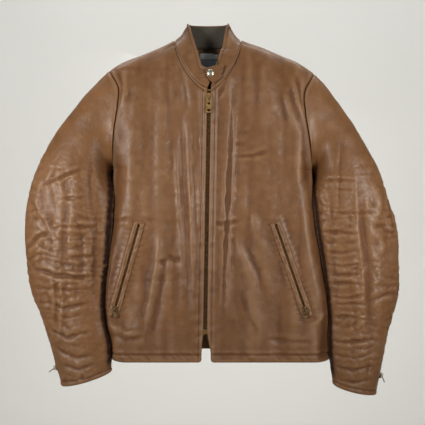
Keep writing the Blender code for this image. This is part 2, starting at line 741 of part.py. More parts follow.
def make_front_zip(tape, brass):
    frame, length = zip_place()
    for side, word in SIDES.items():
        spans = sorted((side * 0.0032, side * 0.0145))
        box(f"{word}_zip_tape", (spans[0], 0.0023, -length), (spans[1], 0.0030, 0.004), tape, frame)
        spans = sorted((side * 0.0006, side * 0.0029))
        low, high = (spans[0], 0.0013, -length + 0.001), (spans[1], 0.0038, -0.0005)
        box(f"{word}_tooth_row", low, high, brass, frame)
        box(f"{word}_top_stop", (spans[0], 0.0011, 0.0), (spans[1], 0.0040, 0.0032), brass, frame)
    box("retainer_box", (0.0005, 0.0003, -length - 0.009), (0.0038, 0.0044, -length - 0.0006), brass, frame)
    pin = (-0.0030, 0.0012, -length - 0.0110), (-0.0008, 0.0040, -length + 0.0006)
    box("insertion_pin", *pin, brass, frame)
    place = frame @ Matrix.Translation((0, 0, -SLIDER_TOP_DROP))
    plate = (-0.0030, -0.0012)
    slider("front_slider", place, 0.0055, 0.0140, plate, (0.0004, 0.0048), brass, (0.0045, 0.0058))
    puller("front_puller", place, 0.0128, 0.0325, plate[0], brass)


def pocket_frame(side):
    top, bottom = POCKET_LINE[side]
    return zip_frame(top, bottom - top, Vector((0, -1, 0))), (bottom - top).length


def pocket_cutter(side):
    frame, length = pocket_frame(side)
    return box(f"{SIDES[side]}_pocket_cutter", (-0.0050, -0.02, -length), (0.0050, 0.02, 0.0), None, frame)


def make_pockets(leather, lining, tape, brass):
    for side, word in SIDES.items():
        frame, length = pocket_frame(side)
        for edge, name in ((-1, "front"), (1, "rear")):
            spans = sorted((side * edge * 0.0022, side * edge * 0.0112))
            low, high = (spans[0], -0.0026, -length - 0.004), (spans[1], -0.0011, 0.004)
            box(f"{word}_pocket_{name}_welt", low, high, leather, frame)
        strip = (-0.0092, 0.0033, -length + 0.001), (0.0092, 0.0040, -0.001)
        chain = (-0.0025, 0.0008, -length + 0.002), (0.0025, 0.0036, -0.002)
        made = box(f"{word}_pocket_zip_tape", *strip, tape, frame)
        join(made, [box(f"{word}_pocket_chain", *chain, tape, frame)])
        place = frame @ Matrix.Translation((0, 0, -length + 0.0125))
        slider(f"{word}_pocket_slider", place, 0.0045, 0.0110, (-0.0044, -0.0028), (0.0016, 0.0004), brass)
        puller(f"{word}_pocket_puller", upright(place), 0.0080, 0.0170, -0.0044, brass, tail=False)
        make_pocket_bag(side, word, lining)


def upright(place):
    """The same place and depth axis, turned in the zip's plane so that the puller hangs plumb."""
    inward = place.to_3x3().col[1].copy()
    up = Vector((0, 0, 1))
    up = (up - inward * up.dot(inward)).normalized()
    frame = Matrix((inward.cross(up), inward, up)).transposed().to_4x4()
    frame.translation = place.translation
    return frame


def bag_grid(side, depth, margin):
    """Points behind the front on either side of the slit, that far in from the bag's own edge."""
    top, bottom = POCKET_LINE[side]
    grid = []
    for i in range(8):
        at = top.lerp(bottom, (margin + (1 - 2 * margin) * i / 7) * 1.02 - 0.01)
        outer, inner = 0.0095 - 0.09 * margin, -0.070 + 0.09 * margin
        xs = [at.x + side * (outer + (inner - outer) * j / 5) for j in range(6)]
        grid.append([Vector((x, body_y(side, "front", x, at.z, depth), at.z)) for x in xs])
    return grid


def make_pocket_bag(side, word, lining):
    """A flat bag between the shell and the lining, open along the zip."""
    near, far = POCKET_BAG
    bag = sheet(f"{word}_pocket_bag", bag_grid(side, near, 0.0), bag_grid(side, far, 0.0), lining)
    room = bag_grid(side, near + 0.0007, 0.03), bag_grid(side, far - 0.0007, 0.03)
    frame, length = pocket_frame(side)
    mouth = (-0.0060, 0.0030, -length + 0.012), (0.0060, 0.0058, -0.012)
    inside = sheet(f"{word}_pocket_room", *room, lining)
    opening = box(f"{word}_pocket_mouth", *mouth, lining, frame)
    join(bag, [inside, opening], "DIFFERENCE")


def make_collar(leather, lining, metal):
    collar("collar_band", LEATHER, leather)
    collar("collar_lining", COLLAR_LINING, lining, trim=1)
    make_tab(leather)
    _, up, normal = tab_frame()
    turn = Matrix((Vector((1, 0, 0)), -normal, up)).transposed().to_4x4()
    for name, radius, height, out in (
        ("snap_cap", SNAP_RADIUS, 0.0030, TAB_OUT[1] + 0.0004),
        ("snap_socket", 0.0050, 0.0007, TAB_OUT[0] - 0.0011),
        ("snap_stud", 0.0040, 0.0006, TAB_OUT[0] - 0.0026),
    ):
        dome(name, radius, height, metal, Matrix.Translation(tab_point(*SNAP, out)) @ turn)


def make_tab(leather):
    bm = bmesh.new()
    outline = tab_outline()
    rows = [[bm.verts.new(tab_point(x, z, out)) for x, z in outline] for out in TAB_OUT]
    for row in rows:
        bm.faces.new(row)
    for j in range(len(outline)):
        k = (j + 1) % len(outline)
        bm.faces.new((rows[0][j], rows[0][k], rows[1][k], rows[1][j]))
    return make_object("collar_tab", bm, leather)


def tab_outline(radius=0.003, steps=2):
    """The tab's outline with each corner rounded."""
    points = []
    count = len(TAB_OUTLINE)
    for i, corner in enumerate(TAB_OUTLINE):
        corner = Vector(corner)
        before = (Vector(TAB_OUTLINE[i - 1]) - corner).normalized() * radius
        after = (Vector(TAB_OUTLINE[(i + 1) % count]) - corner).normalized() * radius
        for s in range(steps + 1):
            t = s / steps
            points.append(tuple(corner + before * (1 - t) ** 2 + after * t**2))
    return points


def make_label(cloth):
    """A blank label on the back lining, just inside the neck."""
    x, top = LABEL_TOP
    heights = (top, top - LABEL_SIZE[1])
    ends = [Vector((x, body_y(RIGHT, "back", x, z, LINING[1]) - 0.0034, z)) for z in heights]
    frame = zip_frame(ends[0], ends[1] - ends[0], Vector((0, -1, 0)))
    half = LABEL_SIZE[0] / 2
    box("neck_label", (-half, -0.0006, -(ends[1] - ends[0]).length), (half, 0.0, 0.0), cloth, frame)


def clear_scene():
    for found in list(bpy.data.objects):
        bpy.data.objects.remove(found)


def main():
    clear_scene()
    leather = material("leather", (0.235, 0.115, 0.052), 0.45)
    lining = material("lining", (0.045, 0.038, 0.024), 0.85)
    tape = material("zip_tape", (0.060, 0.028, 0.014), 0.8)
    brass = material("brass", (0.45, 0.32, 0.13), 0.35, 1.0)
    nickel = material("snap_metal", (0.62, 0.58, 0.46), 0.28, 1.0)
    cloth = material("label_cloth", (0.42, 0.42, 0.42), 0.8)
    make_body(leather)
    make_linings(leather, lining)
    make_sleeves(leather, lining, tape, brass)
    make_collar(leather, lining, nickel)
    make_label(cloth)
    make_front_zip(tape, brass)
    make_pockets(leather, lining, tape, brass)


main()
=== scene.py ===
"""Looks of the leather riding jacket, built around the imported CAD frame. Metres, +Z up, front towards -Y."""

import math
from itertools import product

import bmesh
import bpy
import numpy as np
from mathutils import Matrix, Vector

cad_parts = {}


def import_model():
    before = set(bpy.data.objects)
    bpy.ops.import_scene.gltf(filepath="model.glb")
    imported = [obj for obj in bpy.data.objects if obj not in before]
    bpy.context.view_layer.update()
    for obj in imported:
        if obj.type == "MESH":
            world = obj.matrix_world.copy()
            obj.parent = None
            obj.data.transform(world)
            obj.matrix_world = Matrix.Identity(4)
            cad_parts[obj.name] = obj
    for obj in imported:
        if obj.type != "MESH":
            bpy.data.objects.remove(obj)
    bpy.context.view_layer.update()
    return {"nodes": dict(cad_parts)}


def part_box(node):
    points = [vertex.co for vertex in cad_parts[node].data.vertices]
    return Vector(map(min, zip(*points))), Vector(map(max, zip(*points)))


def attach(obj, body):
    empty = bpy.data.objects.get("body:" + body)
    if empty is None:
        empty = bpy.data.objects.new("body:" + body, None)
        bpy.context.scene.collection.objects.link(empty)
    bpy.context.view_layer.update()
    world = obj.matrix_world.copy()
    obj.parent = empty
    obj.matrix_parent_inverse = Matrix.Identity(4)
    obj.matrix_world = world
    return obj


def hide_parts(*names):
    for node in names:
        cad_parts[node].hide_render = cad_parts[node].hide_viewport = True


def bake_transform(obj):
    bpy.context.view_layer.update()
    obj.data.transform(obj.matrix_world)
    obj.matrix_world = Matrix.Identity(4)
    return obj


RIGHT, LEFT = -1, 1
SIDES = {RIGHT: "right", LEFT: "left"}

# ---- The jacket's shape: the same curves that the CAD panels follow
HEM_Z = -0.648
BACK_HEM_LIFT = 0.012
FRONT_TOP_Y, FRONT_HEM_Y = -0.046, -0.058
BACK_Y = 0.055
SIDE_Y, RIDGE_Y = 0.030, 0.006
FRONT_SIDE_ROUND, BACK_SIDE_ROUND = 0.040, 0.030
FRONT_TOP_ROUND, BACK_TOP_ROUND = 0.120, 0.070
ARMPIT_SHARE = 0.66
ARMHOLE_ROUND = 0.075
ARMHOLE_DEPTH = 0.86
NECK_HALF_WIDTH = 0.0677
NECK_TOP_Z = 0.0041
NECK_DROP = 0.1036
NECK_POWER = 1.5
BACK_NECK_DROP = 0.006
LEATHER_THICKNESS = 0.0016
LINING_DEPTH = 0.0095
LINING_THICKNESS = 0.0010
SLEEVE_LINING_DEPTH = 0.0054
FACING_REACH = 0.48
HEM_FACING_HEIGHT = 0.044
FACING_THICKNESS = 0.0014
LINING_FOLD, FACING_FOLD = 0.0035, 0.0006
LINING_SIDE = 1.975
PANEL_LENGTH = 0.62
BLEND_BAND = 0.012
HEM_SEAM = 0.0155
HEM_STITCH_SHIFT = {RIGHT: -0.002, LEFT: 0.0}
FACING_SEAM = 0.0125
CUFF_SEAM = 0.0095
STITCH_LIFT = 0.0002
POCKET_SEAM = 0.0128
ZIP_TOP, ZIP_BOTTOM = (0.0025, -0.106), (-0.0055, -0.582)
ZIP_EDGE_GAP = 0.0033
HEM_PARTING = {RIGHT: 0.003, LEFT: 0.009}
POCKET_TOP_Z, POCKET_BOTTOM_Z = -0.3734, -0.5536
POCKET_X = {RIGHT: (0.1373, 0.1885), LEFT: (0.1352, 0.1975)}
POCKET_FLAT = (0.024, 0.062)
POCKET_CLEAR = (0.006, 0.015)
CUFF_ZIP_STATION = 10.05
BODY_EDGE = {
    RIGHT: [
        (-0.660, -0.2015), (-0.610, -0.2040), (-0.556, -0.2140), (-0.506, -0.2145), (-0.446, -0.2085),
        (-0.385, -0.2035), (-0.325, -0.1990), (-0.2595, -0.1950), (-0.180, -0.1890), (-0.130, -0.1820),
        (-0.095, -0.1820), (-0.0594, -0.2030),
    ],
    LEFT: [
        (-0.660, 0.2525), (-0.600, 0.2525), (-0.545, 0.2505), (-0.490, 0.2450), (-0.440, 0.2380),
        (-0.385, 0.2280), (-0.330, 0.2205), (-0.2636, 0.2140), (-0.190, 0.2030), (-0.145, 0.1960),
        (-0.105, 0.1960), (-0.0655, 0.2180),
    ],
}
SHOULDER_LINE = [
    (-0.205, -0.0605), (-0.178, -0.0430), (-0.137, -0.0266), (-0.098, -0.0102), (-0.0677, 0.0041),
    (0.0, 0.0300), (0.0677, 0.0041), (0.110, -0.0102), (0.149, -0.0266), (0.186, -0.0430),
    (0.211, -0.0594), (0.220, -0.0668),
]
SLEEVE = {
    RIGHT: [
        ((-0.1955, 0.030, -0.2595), (-0.2035, 0.006, -0.0594), 0.046),
        ((-0.1965, 0.026, -0.2640), (-0.2300, 0.005, -0.0845), 0.046),
        ((-0.1970, 0.017, -0.2700), (-0.2660, 0.003, -0.1245), 0.046),
        ((-0.1965, 0.003, -0.2790), (-0.3090, 0.000, -0.1850), 0.045),
        ((-0.1945, -0.013, -0.2960), (-0.3455, -0.005, -0.2520), 0.042),
        ((-0.1925, -0.025, -0.3260), (-0.3670, -0.010, -0.3200), 0.037),
        ((-0.1965, -0.030, -0.3850), (-0.3730, -0.012, -0.3850), 0.034),
        ((-0.2015, -0.030, -0.4460), (-0.3690, -0.012, -0.4460), 0.033),
        ((-0.2075, -0.030, -0.5060), (-0.3600, -0.012, -0.5080), 0.032),
        ((-0.2075, -0.030, -0.5560), (-0.3375, -0.012, -0.5650), 0.030),
        ((-0.1965, -0.030, -0.6100), (-0.3190, -0.014, -0.6220), 0.028),
        ((-0.1935, -0.030, -0.6670), (-0.2980, -0.016, -0.6990), 0.025),
    ],
    LEFT: [
        ((0.2145, 0.030, -0.2636), (0.2185, 0.006, -0.0655), 0.046),
        ((0.2155, 0.026, -0.2680), (0.2400, 0.005, -0.0905), 0.046),
        ((0.2160, 0.017, -0.2740), (0.2715, 0.003, -0.1340), 0.046),
        ((0.2155, 0.003, -0.2830), (0.3080, 0.000, -0.1860), 0.045),
        ((0.2140, -0.013, -0.3000), (0.3430, -0.005, -0.2500), 0.042),
        ((0.2140, -0.025, -0.3290), (0.3685, -0.010, -0.3200), 0.037),
        ((0.2210, -0.030, -0.3850), (0.3860, -0.012, -0.3850), 0.034),
        ((0.2315, -0.030, -0.4460), (0.3885, -0.012, -0.4460), 0.033),
        ((0.2395, -0.030, -0.5060), (0.3895, -0.012, -0.5060), 0.032),
        ((0.2440, -0.030, -0.5600), (0.3755, -0.012, -0.5660), 0.030),
        ((0.2450, -0.030, -0.6250), (0.3590, -0.014, -0.6350), 0.028),
        ((0.2510, -0.030, -0.6930), (0.3420, -0.016, -0.7155), 0.025),
    ],
}
LAST_STATION = 11
LEATHER_BROWNS = [
    (0.32, (0.158, 0.070, 0.0255)), (0.50, (0.190, 0.086, 0.0320)), (0.68, (0.205, 0.100, 0.0430)),
]
AGED_PARTS = ("pocket_puller", "pocket_slider", "cuff_puller", "cuff_slider")
BRASS_PARTS = ("puller", "slider", "stop", "retainer", "insertion")
CUFF_SAG = 0.007
COLLAR_FRONT_TOP = {
    RIGHT: [
        (0.0165, -0.0405, -0.0590), (0.0020, -0.0415, -0.0600), (-0.0120, -0.0385, -0.0530),
        (-0.0163, -0.0330, -0.0385), (-0.0210, -0.0250, -0.0210), (-0.0285, -0.0140, 0.0020),
        (-0.0365, 0.0000, 0.0290),
    ],
    LEFT: [
        (0.0205, -0.0400, -0.0510), (0.0203, -0.0375, -0.0440), (0.0208, -0.0345, -0.0375),
        (0.0228, -0.0300, -0.0300), (0.0262, -0.0235, -0.0190), (0.0310, -0.0150, -0.0035),
        (0.0362, 0.0000, 0.0280),
    ],
}
COLLAR_BACK_TOP = [
    (0.0407, 0.0080, 0.0375), (0.0397, 0.0190, 0.0395), (0.0345, 0.0290, 0.0400), (0.0260, 0.0360, 0.0405),
    (0.0140, 0.0405, 0.0410), (0.0, 0.0420, 0.0410),
]
COLLAR_LIFT = 0.0001
COLLAR_BULGE = 0.0015
COLLAR_LINING_DROP = 0.0065
# Within this distance of the body's side and of the sleeve's inner edge, the painted shade of the crevice
# between them is full.
CREVICE = {RIGHT: 0.0060, LEFT: 0.0030}
TAB_OUTLINE = [
    (-0.0047, -0.0620), (0.0190, -0.0545), (0.0332, -0.0540), (0.0272, -0.0800), (0.0102, -0.0935),
    (-0.0043, -0.0750),
]
TAB_PLANE = ((0.0, -0.0466, -0.0985), (0.0, -0.0418, -0.0600))
TAB_OUT = (0.0050, 0.0066)
SNAP = (0.0054, -0.0713)

# ---- Creases as (depth, half width, [(x, z), ...]); a negative depth is a raised fold
SLEEVE_CREASES = {
    RIGHT: [
        (0.0024, 0.0030, [(-0.342, -0.297), (-0.311, -0.285), (-0.274, -0.271), (-0.237, -0.256)]),
        (0.0018, 0.0028, [(-0.311, -0.322), (-0.275, -0.321), (-0.238, -0.320)]),
        (0.0026, 0.0030, [(-0.316, -0.392), (-0.297, -0.378), (-0.260, -0.378), (-0.214, -0.379)]),
        (0.0018, 0.0026, [(-0.290, -0.406), (-0.250, -0.402), (-0.212, -0.404)]),
        (0.0022, 0.0028, [(-0.282, -0.438), (-0.250, -0.437), (-0.212, -0.436)]),
        (0.0032, 0.0036, [(-0.364, -0.459), (-0.300, -0.474), (-0.254, -0.479), (-0.212, -0.477)]),
        (0.0018, 0.0030, [(-0.360, -0.498), (-0.320, -0.503), (-0.290, -0.500)]),
        (0.0030, 0.0034, [(-0.333, -0.521), (-0.293, -0.541), (-0.255, -0.534), (-0.226, -0.529)]),
        (0.0016, 0.0028, [(-0.290, -0.505), (-0.255, -0.503), (-0.222, -0.500)]),
        (0.0028, 0.0036, [(-0.329, -0.579), (-0.283, -0.600), (-0.250, -0.590), (-0.226, -0.586)]),
        (0.0018, 0.0036, [(-0.312, -0.622), (-0.262, -0.640), (-0.222, -0.632)]),
        (0.0018, 0.0034, [(-0.300, -0.650), (-0.262, -0.662), (-0.214, -0.650)]),
        (-0.0024, 0.0036, [(-0.295, -0.470), (-0.290, -0.533), (-0.300, -0.604)]),
        (0.0018, 0.0030, [(-0.306, -0.470), (-0.302, -0.533), (-0.312, -0.590)]),
        (-0.0026, 0.0044, [(-0.351, -0.300), (-0.343, -0.339), (-0.311, -0.392)]),
        (0.0022, 0.0034, [(-0.371, -0.427), (-0.339, -0.396), (-0.311, -0.388)]),
        (0.0014, 0.0040, [(-0.237, -0.225), (-0.234, -0.300), (-0.232, -0.377)]),
        (0.0012, 0.0040, [(-0.226, -0.377), (-0.226, -0.470), (-0.222, -0.560)]),
        (0.0012, 0.0035, [(-0.300, -0.230), (-0.318, -0.290), (-0.306, -0.350)]),
    ],
    LEFT: [
        (0.0014, 0.0026, [(0.222, -0.283), (0.262, -0.284), (0.305, -0.286)]),
        (0.0016, 0.0026, [(0.250, -0.302), (0.285, -0.305), (0.305, -0.303)]),
        (0.0016, 0.0026, [(0.262, -0.350), (0.300, -0.352), (0.345, -0.345)]),
        (0.0024, 0.0028, [(0.226, -0.387), (0.262, -0.389), (0.305, -0.394)]),
        (0.0018, 0.0026, [(0.230, -0.410), (0.266, -0.411), (0.305, -0.405)]),
        (0.0022, 0.0026, [(0.230, -0.427), (0.266, -0.430), (0.300, -0.425)]),
        (0.0026, 0.0028, [(0.234, -0.453), (0.270, -0.456), (0.312, -0.450)]),
        (0.0020, 0.0026, [(0.240, -0.474), (0.275, -0.473), (0.315, -0.474)]),
        (0.0026, 0.0028, [(0.236, -0.491), (0.280, -0.490), (0.316, -0.493)]),
        (0.0020, 0.0026, [(0.244, -0.519), (0.280, -0.520), (0.318, -0.513)]),
        (0.0018, 0.0026, [(0.250, -0.534), (0.290, -0.530), (0.322, -0.536)]),
        (0.0020, 0.0026, [(0.246, -0.560), (0.286, -0.556), (0.320, -0.566)]),
        (0.0026, 0.0030, [(0.240, -0.606), (0.280, -0.608), (0.330, -0.604), (0.352, -0.610)]),
        (0.0020, 0.0032, [(0.246, -0.632), (0.290, -0.640), (0.335, -0.634)]),
        (0.0024, 0.0034, [(0.246, -0.655), (0.290, -0.664), (0.338, -0.656)]),
        (0.0016, 0.0032, [(0.252, -0.680), (0.292, -0.690), (0.336, -0.682)]),
        (-0.0016, 0.0040, [(0.294, -0.240), (0.297, -0.377), (0.308, -0.463), (0.312, -0.568)]),
        (-0.0028, 0.0070, [(0.331, -0.285), (0.345, -0.330), (0.338, -0.370)]),
        (-0.0026, 0.0070, [(0.338, -0.385), (0.350, -0.415), (0.345, -0.440)]),
        (0.0024, 0.0050, [(0.322, -0.380), (0.350, -0.375), (0.372, -0.400)]),
        (0.0022, 0.0040, [(0.318, -0.530), (0.342, -0.520), (0.368, -0.508)]),
        (0.0020, 0.0036, [(0.362, -0.280), (0.370, -0.345), (0.382, -0.420)]),
        (0.0014, 0.0040, [(0.268, -0.200), (0.262, -0.300), (0.262, -0.380)]),
    ],
}
SLEEVE_VALLEYS = {
    RIGHT: [
        (0.0024, 0.0062, [(-0.277, -0.270), (-0.283, -0.350), (-0.287, -0.406), (-0.283, -0.490)]),
        (0.0018, 0.0060, [(-0.222, -0.300), (-0.222, -0.400), (-0.222, -0.520)]),
    ],
    LEFT: [
        (0.0028, 0.0075, [
            (0.303, -0.250), (0.308, -0.377), (0.319, -0.463), (0.322, -0.568), (0.330, -0.650),
        ]),
        (0.0018, 0.0060, [(0.247, -0.270), (0.248, -0.377), (0.251, -0.463), (0.258, -0.560)]),
    ],
}
FRONT_CREASES = {
    RIGHT: [
        (0.0012, 0.0030, [(-0.205, -0.366), (-0.150, -0.363), (-0.090, -0.366)]),
        (-0.0026, 0.0060, [(-0.092, -0.375), (-0.105, -0.470), (-0.120, -0.560), (-0.132, -0.615)]),
        (0.0018, 0.0060, [(-0.078, -0.400), (-0.092, -0.500), (-0.108, -0.600)]),
        (-0.0018, 0.0055, [(-0.064, -0.130), (-0.062, -0.260), (-0.055, -0.400), (-0.048, -0.560)]),
        (0.0016, 0.0050, [(-0.052, -0.120), (-0.050, -0.260), (-0.043, -0.400), (-0.037, -0.600)]),
        (-0.0016, 0.0050, [(-0.041, -0.160), (-0.038, -0.300), (-0.030, -0.440), (-0.026, -0.600)]),
        (0.0012, 0.0045, [(-0.030, -0.130), (-0.028, -0.280), (-0.021, -0.420)]),
        (0.0020, 0.0060, [(-0.082, -0.436), (-0.066, -0.444), (-0.050, -0.440)]),
        (0.0016, 0.0050, [(-0.100, -0.445), (-0.085, -0.452)]),
        (0.0014, 0.0040, [(-0.200, -0.590), (-0.160, -0.602), (-0.120, -0.595)]),
        (-0.0020, 0.0060, [(-0.195, -0.575), (-0.165, -0.590), (-0.130, -0.590)]),
        (0.0030, 0.0042, [(-0.200, -0.065), (-0.192, -0.100), (-0.185, -0.140)]),
        (0.0024, 0.0046, [(-0.186, -0.060), (-0.176, -0.090), (-0.180, -0.125)]),
        (-0.0022, 0.0050, [(-0.180, -0.150), (-0.170, -0.120), (-0.160, -0.095)]),
        (0.0014, 0.0050, [(-0.060, -0.040), (-0.045, -0.110), (-0.040, -0.150)]),
        (-0.0012, 0.0060, [(-0.090, -0.020), (-0.085, -0.100), (-0.088, -0.200)]),
    ],
    LEFT: [
        (0.0032, 0.0029, [
            (0.047, -0.085), (0.049, -0.120), (0.039, -0.354), (0.033, -0.470), (0.029, -0.590),
        ]),
        (-0.0014, 0.0040, [(0.057, -0.120), (0.048, -0.354), (0.040, -0.560)]),
        (0.0014, 0.0030, [(0.043, -0.238), (0.085, -0.236), (0.130, -0.226)]),
        (0.0010, 0.0028, [(0.052, -0.212), (0.080, -0.211)]),
        (0.0010, 0.0028, [(0.052, -0.190), (0.085, -0.188)]),
        (0.0018, 0.0034, [(0.008, -0.369), (0.030, -0.371), (0.070, -0.366)]),
        (-0.0024, 0.0090, [(0.052, -0.375), (0.066, -0.430), (0.092, -0.490)]),
        (0.0018, 0.0070, [(0.075, -0.410), (0.100, -0.470), (0.110, -0.520)]),
        (-0.0016, 0.0080, [(0.045, -0.530), (0.062, -0.580), (0.080, -0.620)]),
        (0.0012, 0.0060, [(0.062, -0.500), (0.085, -0.560), (0.105, -0.600)]),
        (0.0014, 0.0040, [(0.110, -0.600), (0.160, -0.606), (0.215, -0.606)]),
        (-0.0018, 0.0060, [(0.200, -0.575), (0.225, -0.560), (0.240, -0.545)]),
        (0.0030, 0.0040, [(0.176, -0.066), (0.183, -0.100), (0.192, -0.150)]),
        (0.0022, 0.0044, [(0.162, -0.085), (0.174, -0.130), (0.188, -0.175)]),
        (-0.0022, 0.0050, [(0.150, -0.100), (0.165, -0.150), (0.182, -0.195)]),
        (0.0016, 0.0060, [(0.190, -0.220), (0.200, -0.270), (0.190, -0.300)]),
        (0.0020, 0.0040, [(0.045, -0.060), (0.030, -0.100), (0.014, -0.126)]),
        (-0.0012, 0.0070, [(0.085, -0.330), (0.100, -0.400), (0.120, -0.430)]),
    ],
}

# ---------------------------------------------------------------- curves and fields


def smooth(points):
    """A smooth function through (position, value) points, whose values may be vectors."""
    at = np.array([p[0] for p in points], float)
    values = np.array([p[1] for p in points], float).reshape(len(at), -1)
    slopes = np.gradient(values, at, axis=0)

    def value(x):
        x = np.clip(np.asarray(x, float), at[0], at[-1])
        i = np.clip(np.searchsorted(at, x) - 1, 0, len(at) - 2)
        h = (at[i + 1] - at[i])[..., None]
        t = (x[..., None] - at[i][..., None]) / h
        out = (
            (2 * t**3 - 3 * t**2 + 1) * values[i]
            + (t**3 - 2 * t**2 + t) * h * slopes[i]
            + (3 * t**2 - 2 * t**3) * values[i + 1]
            + (t**3 - t**2) * h * slopes[i + 1]
        )
        return out[..., 0] if values.shape[1] == 1 else out

    return value


def rise(distance, radius):
    """From 0 at an edge to 1 a radius further in, along a quarter of a circle."""
    share = np.clip(distance / radius, 0.0, 1.0)
    return (1 - (1 - share) ** 2.0) ** 0.5


def ease(share):
    share = np.clip(share, 0.0, 1.0)
    return share * share * (3 - 2 * share)


def bump(distance, width):
    return np.exp(-((distance / width) ** 2))


def noise(points, size, seed):
    """Smooth noise from -1 to 1 whose features are about size across; size may differ by axis."""
    p = points / np.asarray(size, float)
    base = np.floor(p).astype(np.int64)
    f = p - base
    f = f * f * (3 - 2 * f)
    total = np.zeros(p.shape[:-1])
    for corner in np.ndindex(2, 2, 2):
        cell = base + np.array(corner)
        h = (cell[..., 0] * 73856093) ^ (cell[..., 1] * 19349663) ^ (cell[..., 2] * 83492791) ^ (seed * 7919)
        h = ((h ^ (h >> 13)) * 1274126177) & 0x7FFFFFFF
        h = ((h ^ (h >> 15)) * 668265263) & 0x7FFFFFFF
        weight = np.prod(np.where(corner, f, 1 - f), axis=-1)
        total += weight * ((h ^ (h >> 16)) & 0xFFFF) / 32767.5
    return total - 1


def layered(points, seed, layers):
    """Noise of several sizes on top of each other; layers are (height, size), and each has its own seed."""
    total = 0.0
    for step, (height, size) in enumerate(layers):
        total = total + height * noise(points, size, seed + step)
    return total


def tilted(points, degrees):
    """The points turned about the depth axis, so that one layer of noise doesn't line up with the next."""
    c, s = math.cos(math.radians(degrees)), math.sin(math.radians(degrees))
    x, z = points[..., 0], points[..., 2]
    return np.stack([c * x - s * z, points[..., 1], s * x + c * z], axis=-1)


def creased(points, creases):
    """Height of the listed creases at each point, seen from the front."""
    x, z = points[..., 0], points[..., 2]
    waver = 0.0022 * noise(points, 0.018, 91) + 0.0009 * noise(points, 0.007, 92)
    total = np.zeros(x.shape)
    for depth, width, line in creases:
        line = np.array(line)
        lengths = np.r_[0, np.cumsum(np.hypot(*np.diff(line, axis=0).T))]
        nearest = np.full(x.shape, 1.0)
        along = np.zeros(x.shape)
        for a, b, start in zip(line, line[1:], lengths):
            d = b - a
            t = np.clip(((x - a[0]) * d[0] + (z - a[1]) * d[1]) / (d @ d), 0, 1)
            away = np.hypot(x - a[0] - t * d[0], z - a[1] - t * d[1])
            closer = away < nearest
            nearest = np.where(closer, away, nearest)
            along = np.where(closer, (start + t * math.hypot(*d)) / lengths[-1], along)
        uneven = 0.92 + 0.34 * noise(tilted(points, 25), 0.024, 17)
        fade = ease(np.minimum(along, 1 - along) / 0.30) * uneven
        nearest = np.abs(nearest + waver)
        total += -depth * fade * (bump(nearest, width) - 0.55 * bump(nearest - 2.4 * width, 1.9 * width))
    return total


def billow(phase, sharpness):
    """Rounded pillows between sharp creases, from -1 in a crease to 0 on a pillow."""
    return np.abs(np.sin(math.pi * phase)) ** sharpness - 1


# ---------------------------------------------------------------- the body's surface


EDGE = {side: smooth(points) for side, points in BODY_EDGE.items()}
RIDGE = smooth(SHOULDER_LINE)
TIP_Z = {side: points[-1][0] for side, points in BODY_EDGE.items()}
SECTION = {
    side: smooth([(i, (*inner, *outer, half)) for i, (inner, outer, half) in enumerate(rows)])
    for side, rows in SLEEVE.items()
}


def zip_x(z):
    share = (z - ZIP_TOP[1]) / (ZIP_BOTTOM[1] - ZIP_TOP[1])
    return ZIP_TOP[0] + share * (ZIP_BOTTOM[0] - ZIP_TOP[0])


def front_y(z):
    share = (z - ZIP_TOP[1]) / (HEM_Z - ZIP_TOP[1])
    return FRONT_TOP_Y + np.maximum(share, 0.0) * (FRONT_HEM_Y - FRONT_TOP_Y)


def neckline_z(x, face):
    share = np.clip(np.abs(x) / NECK_HALF_WIDTH, 0.0, 1.0)
    if face == "back":
        return NECK_TOP_Z - BACK_NECK_DROP * np.sqrt(1 - share**2)
    return NECK_TOP_Z - NECK_DROP * (1 - share**NECK_POWER) ** (1 / NECK_POWER)


def rounded_y(side, face, x, z, inset):
    edge = EDGE[side](z) - side * inset
    tip = TIP_Z[side]
    low = HEM_Z + ARMPIT_SHARE * (tip - HEM_Z)
    opened = ARMHOLE_DEPTH * rise(z - low, ARMHOLE_ROUND)
    front = face == "front"
    across = rise(np.abs(edge - x), FRONT_SIDE_ROUND if front else BACK_SIDE_ROUND)
    across = opened + (1 - opened) * across
    up = rise(RIDGE(x) - inset - z, FRONT_TOP_ROUND if front else BACK_TOP_ROUND)
    middle = SIDE_Y + (RIDGE_Y - SIDE_Y) * ease((z - low) / (tip - low))
    depth = front_y(z) + inset if front else BACK_Y - inset
    return middle + (depth - middle) * across * up


def pocket_line(side):
    heights = np.array((POCKET_TOP_Z, POCKET_BOTTOM_Z))
    xs = side * np.array(POCKET_X[side])
    return np.stack([xs, rounded_y(side, "front", xs, heights, 0.0), heights], axis=-1)


POCKET_LINE = {side: pocket_line(side) for side in SIDES}


def body_y(side, face, x, z, inset):
    """How far forward or back the body's face lies, with the front flat beside each straight pocket slit."""
    y = rounded_y(side, face, x, z, inset)
    if face == "back":
        return y
    top, bottom = POCKET_LINE[side]
    line = (bottom - top)[[0, 2]]
    share = np.clip(((x - top[0]) * line[0] + (z - top[2]) * line[1]) / (line @ line), 0, 1)
    away = np.hypot(x - top[0] - share * line[0], z - top[2] - share * line[1])
    weight = 1 - ease((away - POCKET_FLAT[0]) / (POCKET_FLAT[1] - POCKET_FLAT[0]))
    from_side = np.abs(EDGE[side](z) - x)
    weight = weight * ease((from_side - POCKET_CLEAR[0]) / (POCKET_CLEAR[1] - POCKET_CLEAR[0]))
    return y + weight * (top[1] + share * (bottom[1] - top[1]) + inset - y)


